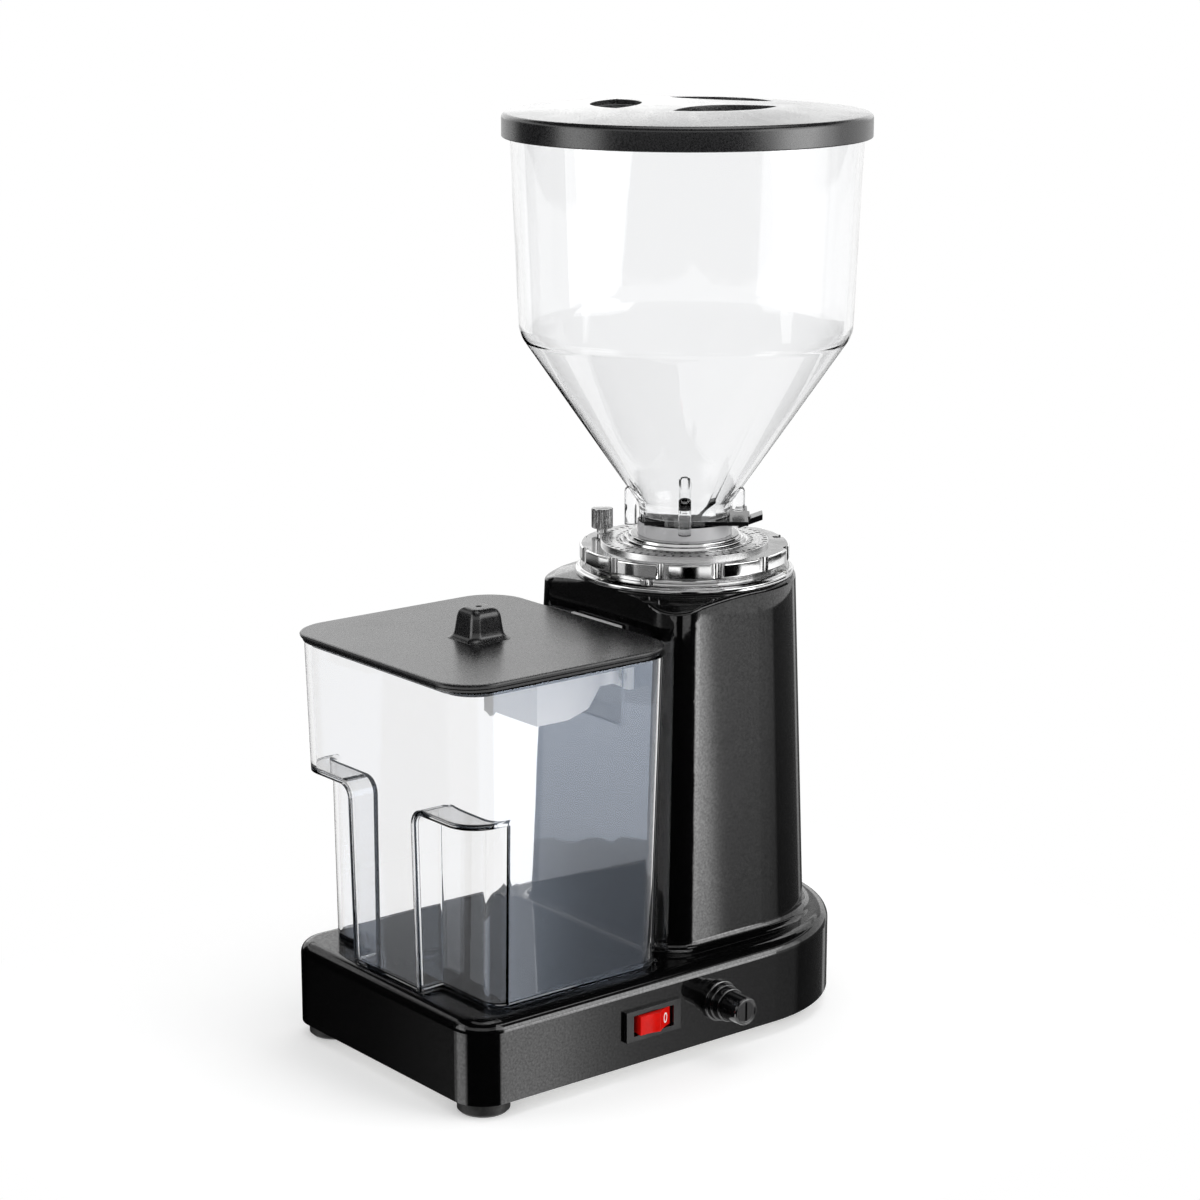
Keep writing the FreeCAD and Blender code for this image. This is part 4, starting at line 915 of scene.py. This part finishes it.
def recess_cutter(side):
    """The room for the fingers: its outer wall leans with the box, its ceiling is rounded."""
    shape = bmesh.new()
    plan = [(26, -200), (100, -200), (100, -153.9), (65, -153.9), (65, -163), (26, -163)]
    outline = shape.faces.new([shape.verts.new((x * MM, y * MM, RECESS_LOW * MM)) for x, y in plan])
    rounded(shape, [outline.verts[4]], RECESS_CORNER, 8)
    drawn(shape, shape.faces[:][0], (0, 0, RECESS_TOP - RECESS_LOW))
    for corner in shape.verts:
        if corner.co.x > 30 * MM:
            corner.co.x += (corner.co.z - CAN_LOW * MM) * CAN_SLOPE
    soften(closed(shape), RECESS_ROUND, 6, 40, lambda spot: spot.z > RECESS_TOP - 1 and spot.x < 27)
    return closed(moved(shape, turn=Matrix.Scale(side, 4, (1, 0, 0))))


box_form = stack(65, -176, -63.5, 15, [(CAN_LOW, 0), (194, -3.34)], 12)
box_form = cut(box_form, recess_cutter(1), recess_cutter(-1))
soften(box_form, 2.6, 4, 40, lambda spot: spot.z < 190)
lid_face = max(box_form.faces, key=lambda face: face.calc_center_median().z)
bmesh.ops.delete(box_form, geom=[lid_face], context="FACES_ONLY")
shell = passing(box_form)
thick = shell.modifiers.new("wall", "SOLIDIFY")
thick.thickness = CAN_WALL * MM
thick.offset = -1
thick.use_even_offset = True
box_form = cut(worked(shell), block((-29, -70, 153), (29, -50, 220)))
settle("clear_container", box_form, container_clear, "container", "container", slot="clear_plastic",
       crease=30)

# %% [markdown]
# ## Grinding head
# A polished flange sits on the tower. Above it turns the adjusting ring, a thick disc with notches
# for the fingers, and on the ring lie the scale and the stepped collar that the hopper's neck drops
# into.

# %% Flange and its screws
flange = lathe([
    (42, 212.5), (52.2, 212.5, 0.5), (52.2, 214.6, 0.8), (51.2, 215.0, 0.3), (50.4, 216, 0.4),
    (45, 216, 0.3), (45, 217.8, 0.4), (42, 217.8, 0.4)], FINE)
SCREW_RING, SCREW_ANGLES = 48.6, (30, 150, 270)
seats = [moved(rod(2.85, 214.4, 220), round_spot(SCREW_RING, degrees)) for degrees in SCREW_ANGLES]
settle("flange_plate", cut(flange, *seats), turned_plate, "base", "top_flange", slot="bright_plate")
CROSS_SHARE, CROSS_HALF, CROSS_DEEP = 0.62, 0.42, 0.9


def cross_screw(low, head_low, head_top, shank, head):
    """A small screw with a crosswise driver recess in its rounded head."""
    blank = lathe([
        (0, low), (shank, low), (shank, head_low), (head, head_low), (head, head_top, 0.7),
        (0, head_top + 0.15)], 32)
    bottom, above, long = head_top - CROSS_DEEP, head_top + 2, head * CROSS_SHARE
    return cut(blank, block((-long, -CROSS_HALF, bottom), (long, CROSS_HALF, above)),
               block((-CROSS_HALF, -long, bottom), (CROSS_HALF, long, above)))


for number, degrees in enumerate(SCREW_ANGLES, 1):
    screw = cross_screw(206, 214.4, 215.85, 1.5, 2.7)
    moved(screw, round_spot(SCREW_RING, degrees), spun(degrees + 20))
    settle(f"flange_cross_screw_{number}", screw, zinc, "base", f"flange_screw_{number}",
           slot="zinc_screw")

# %% Adjusting ring
LOBES = 12
KNOB_SPOT, SPARE_SPOT = round_spot(44.6, -157), round_spot(46.2, 66)
THROUGH = (215, 230)
ring = lathe([
    (36, 200), (41.7, 200, 0.4), (41.7, 219), (50, 219, 0.8), (50, 226, 0.9), (31, 226), (31, 221),
    (36, 221)], FINE)
notches = [moved(rod(3.4, *THROUGH), round_spot(51.2, 360 / LOBES * turn + 8))
           for turn in range(LOBES)]
holes = [moved(rod(1.56, *THROUGH), KNOB_SPOT), moved(rod(2.2, *THROUGH), SPARE_SPOT)]
ring = cut(ring, *notches, *holes)
soften(ring, 0.45, 2, 40, lambda spot: math.hypot(spot.x, spot.y) > 43 and spot.z > 218)
settle("lobed_ring", ring, bright_ring, "dial", "adjusting_ring", slot="bright_plate")
pin = lathe([(0, 216), (2.4, 216), (2.4, 218.6, 0.5), (0, 218.6)], 32)
moved(pin, round_spot(SCREW_RING, -62))
settle("pointer_stud", pin, plate, "base", "pointer_pin", slot="bright_plate")

# %% Collar
collar = lathe([
    (22, 208), (26, 208), (26, 221), (30.9, 221), (30.9, 228.2, 0.7), (29.9, 228.2, 0.3),
    (29.5, 227.6, 0.2), (29.1, 227.6, 0.2), (28.7, 229.6, 0.7), (27.6, 229.6, 0.3),
    (27.2, 229, 0.2), (26.8, 229, 0.2), (26.4, 231, 0.7), (22.5, 231, 0.3), (22, 230.4, 0.2)], FINE)
settle("stepped_collar", collar, turned_plate, "dial", "hopper_collar", slot="bright_plate")
sleeve_grey = coloured_plastic(
    "sleeve_grey", (0.62, 0.62, 0.63), (0.5, 0.5, 0.51), 0.24, 0.3, 0.004)
sleeve = lathe([(22, 231), (22.5, 231), (22.5, 237.3, 0.15), (22, 237.3, 0.15)], FINE)
settle("collar_sleeve", sleeve, sleeve_grey, "dial", slot="bright_plate")

# %% [markdown]
# ## Scale
# The scale is a satin disc with stamped marks: a fine row of ticks at its edge, and numbers inside
# it. Each tick is a sliver of dark ink on the metal. Text is turned into a mesh first, so that it
# bakes as one.


# %% Inks and scale
def ink(name, light, dark):
    finish = Finish(name, IOR=1.45, Specular_IOR_Level=0.02)
    wear = finish.noise(0.5, 3.0)
    finish.set(Base_Color=finish.blend(wear, dark, light))
    finish.set(Roughness=finish.spread(wear, 0.3, 0.7, 0.4, 0.6))
    return finish.material


dark_ink = ink("dark_ink", (0.03, 0.03, 0.03), (0.015, 0.015, 0.015))
white_ink = ink("white_ink", (0.85, 0.85, 0.85), (0.75, 0.75, 0.75))
SCALE_TOP = 227.8
disc = lathe([(31, 226), (40, 226), (40, SCALE_TOP, 0.4), (31, SCALE_TOP)], FINE)
settle("scale_plate", disc, satin, "dial", "scale_disc", slot="satin_scale")


# %% Marks on the scale
def lettering(text, size, thick):
    """Words as a closed mesh, lying flat and centred."""
    curve = bpy.data.curves.new("passing", "FONT")
    curve.body = text
    curve.size = size * MM
    curve.align_x = "CENTER"
    curve.align_y = "CENTER"
    curve.extrude = thick / 2 * MM
    curve.resolution_u = 3
    item = bpy.data.objects.new("passing", curve)
    scene.collection.objects.link(item)
    shape = evaluated(item)
    bpy.data.curves.remove(curve)
    return closed(shape)


def gathered(shapes):
    """Several shapes as one."""
    whole = bmesh.new()
    for shape in shapes:
        mesh = bpy.data.meshes.new("passing")
        shape.to_mesh(mesh)
        shape.free()
        whole.from_mesh(mesh)
        bpy.data.meshes.remove(mesh)
    return whole


INK_LOW, INK_TOP = SCALE_TOP - 0.05, SCALE_TOP + 0.03
TICKS, NUMBERS = 60, 9
LONG_TICK, SHORT_TICK, LONG_EACH = 36.9, 37.6, 4


def tick(inner, outer, half, degrees):
    return moved(block((inner, -half, INK_LOW), (outer, half, INK_TOP)), turn=spun(degrees))


marks = []
for turn in range(TICKS):
    degrees = 360 / TICKS * turn
    marks.append(tick(SHORT_TICK if turn % LONG_EACH else LONG_TICK, 39.4, 0.6, degrees))
    marks.append(tick(31.5, 32.8, 0.7, degrees))
for number in range(NUMBERS):
    degrees = -90 + 360 / NUMBERS * number
    digit = lettering(str(number), 4.2, INK_TOP - INK_LOW)
    spot = round_spot(34.8, degrees, (INK_LOW + INK_TOP) / 2)
    marks.append(moved(digit, spot, spun(degrees + 90)))
settle("scale_marks", gathered(marks), dark_ink, "dial", slot="satin_scale")

# %% [markdown]
# ## Index knob
# The little knob locks the ring. Its grip is knurled straight: two of every four columns of the
# spun wall are pulled inwards, which gives ridges that catch the light.

# %% Index knob
RIDGES, COLUMNS_EACH, RIDGE_DEEP = 22, 4, 0.45
columns = RIDGES * COLUMNS_EACH
knob = lathe([
    (0, 219.2), (1.5, 219.2, 0.3), (1.5, 226.4), (2.6, 226.4), (2.6, 228.6), (5.2, 228.6, 0.6),
    (5.2, 238.4, 0.6), (0, 238.4)], columns, 3)
for corner in knob.verts:
    reach = math.hypot(corner.co.x, corner.co.y)
    column = round(math.atan2(corner.co.y, corner.co.x) / FULL_TURN * columns)
    if reach > 5.1 * MM and column % COLUMNS_EACH in (0, 1):
        corner.co.x *= 1 - RIDGE_DEEP * MM / reach
        corner.co.y *= 1 - RIDGE_DEEP * MM / reach
moved(knob, KNOB_SPOT)
settle("knurled_knob", knob, knurled, "index_knob", "index_knob", slot="knurled_steel", crease=20)

# %% [markdown]
# ## Gate and chute
# These two keep the forms of their solids. A copy of each solid's mesh is merged into real faces,
# and its sharp edges are rounded, because no moulded edge is truly sharp.


# %% Gate and chute
def softened(node, width):
    """A copy of a solid's mesh with rounded edges."""
    shape = bmesh.new()
    shape.from_mesh(nodes[node].data)
    merged(shape, 1)
    bmesh.ops.translate(shape, verts=shape.verts, vec=-axis)
    return soften(shape, width)


leaf = softened("shutter_gate", 0.6)
settle("gate_leaf", leaf, moulding, "gate", "shutter_gate", slot="black_moulding")
hood = softened("outlet_chute", 0.9)
settle("chute_hood", hood, chute_white, "base", "outlet_chute", slot="terminal_plastic")
TO_FRONT = Matrix.Rotation(math.radians(90), 4, "X")
for hand, side in (("left", -22.5), ("right", 22.5)):
    screw = cross_screw(-4.6, 3.4, 5.4, 1.5, 2.9)
    settle(f"chute_cross_screw_{hand}", moved(screw, (side, -52.7, 175), TO_FRONT), zinc, "base",
           f"chute_screw_{hand}", slot="zinc_screw")

# %% [markdown]
# ## Switch
# The rocker is a red lens whose two halves are hollowed a little, so a finger finds them. It stands
# in a black frame, and the half that is pressed in carries the common ring for off.

# %% Switch
red_lens = coloured_plastic(
    "red_lens", (0.76, 0.009, 0.005), (0.46, 0.004, 0.003), 0.13, 0.22, gloss=0.09)
bezel = softened("switch_bezel", 0.5)
settle("switch_frame", bezel, moulding, "base", "switch_bezel", slot="black_moulding")
PIVOT, REST_TURN = (72, -81.5, 26.4), spun(10)
TO_RIGHT = Matrix.Rotation(math.radians(90), 4, "Y")
HALF_LONG, HALF_WIDE, FACE, CREST, SAG = 10.4, 4.6, 5.2, 8.5, 0.5
HOLLOW_STEPS = 6


def dip(share):
    """How deep the hollow of one half is, at a share of its length."""
    return SAG * 4 * share * (1 - share)


side_view = [(-4, 8), (-4, -8)]
for (x, y), (end_x, end_y) in (((FACE, -HALF_LONG), (CREST, 0)), ((CREST, 0), (FACE, HALF_LONG))):
    for step in range(HOLLOW_STEPS):
        share = step / HOLLOW_STEPS
        side_view.append((x + (end_x - x) * share - dip(share), y + (end_y - y) * share))
side_view.append((FACE, HALF_LONG))
rocker = bmesh.new()
corners = [rocker.verts.new((x * MM, y * MM, -HALF_WIDE * MM)) for x, y in side_view]
drawn(rocker, rocker.faces.new(corners), (0, 0, 2 * HALF_WIDE))
moved(soften(closed(rocker), 0.5, over=30), PIVOT, REST_TURN)
settle("rocker_button", rocker, red_lens, "rocker", "switch_rocker", slot="red_lens")


def on_rocker(shape, share):
    """Lay a flat mark on the rocker's face, at a share of its half length."""
    slope = math.atan2(CREST - FACE, HALF_LONG)
    lean = TO_RIGHT @ Matrix.Rotation(math.copysign(slope, -share), 4, "X")
    face = CREST - (CREST - FACE) * abs(share) - dip(abs(share))
    moved(shape, (face, share * HALF_LONG, 0), lean)
    return moved(shape, PIVOT, REST_TURN)


off_mark = lathe([(1.5, -0.1), (2.1, -0.1), (2.1, 0.2), (1.5, 0.2)], 40)
bmesh.ops.scale(off_mark, verts=off_mark.verts, vec=(1.15, 0.9, 1))
settle("off_mark", on_rocker(off_mark, 0.55), white_ink, "rocker", slot="red_lens")

# %% [markdown]
# ## Fuse holder
# The fuse sits in a black screw-in holder: a flange against the wall, a stepped barrel, and a cap
# with a driver slot. All are spun about an upright axis and then laid over to point to the right.

# %% Fuse holder
FUSE = (75, -40.7, 26.3)
barrel = lathe([
    (0, -35), (6.3, -35), (6.3, 0), (9.8, 0), (9.8, 2, 0.6), (9.0, 2, 0.2), (8.8, 4.8, 0.5),
    (8.2, 5.0, 0.2), (8.0, 9, 0.6), (2.9, 9), (2.9, -30), (0, -30)], 72)
moved(barrel, FUSE, TO_RIGHT)
settle("fuse_barrel", barrel, fuse_black, "base", "fuse_holder", slot="black_moulding")
cap = lathe([
    (0, 9.3), (7.0, 9.3, 0.4), (6.6, 19, 0.3), (6.2, 20, 0.4), (5.3, 20, 0.3), (5.0, 19.5, 0.2),
    (0, 19.5)], 72)
cap = moved(cut(cap, block((-4.5, -0.6, 18.3), (4.5, 0.6, 25))), FUSE, TO_RIGHT)
settle("fuse_knob", cap, fuse_black, "fuse_cap", "fuse_cap", slot="black_moulding")
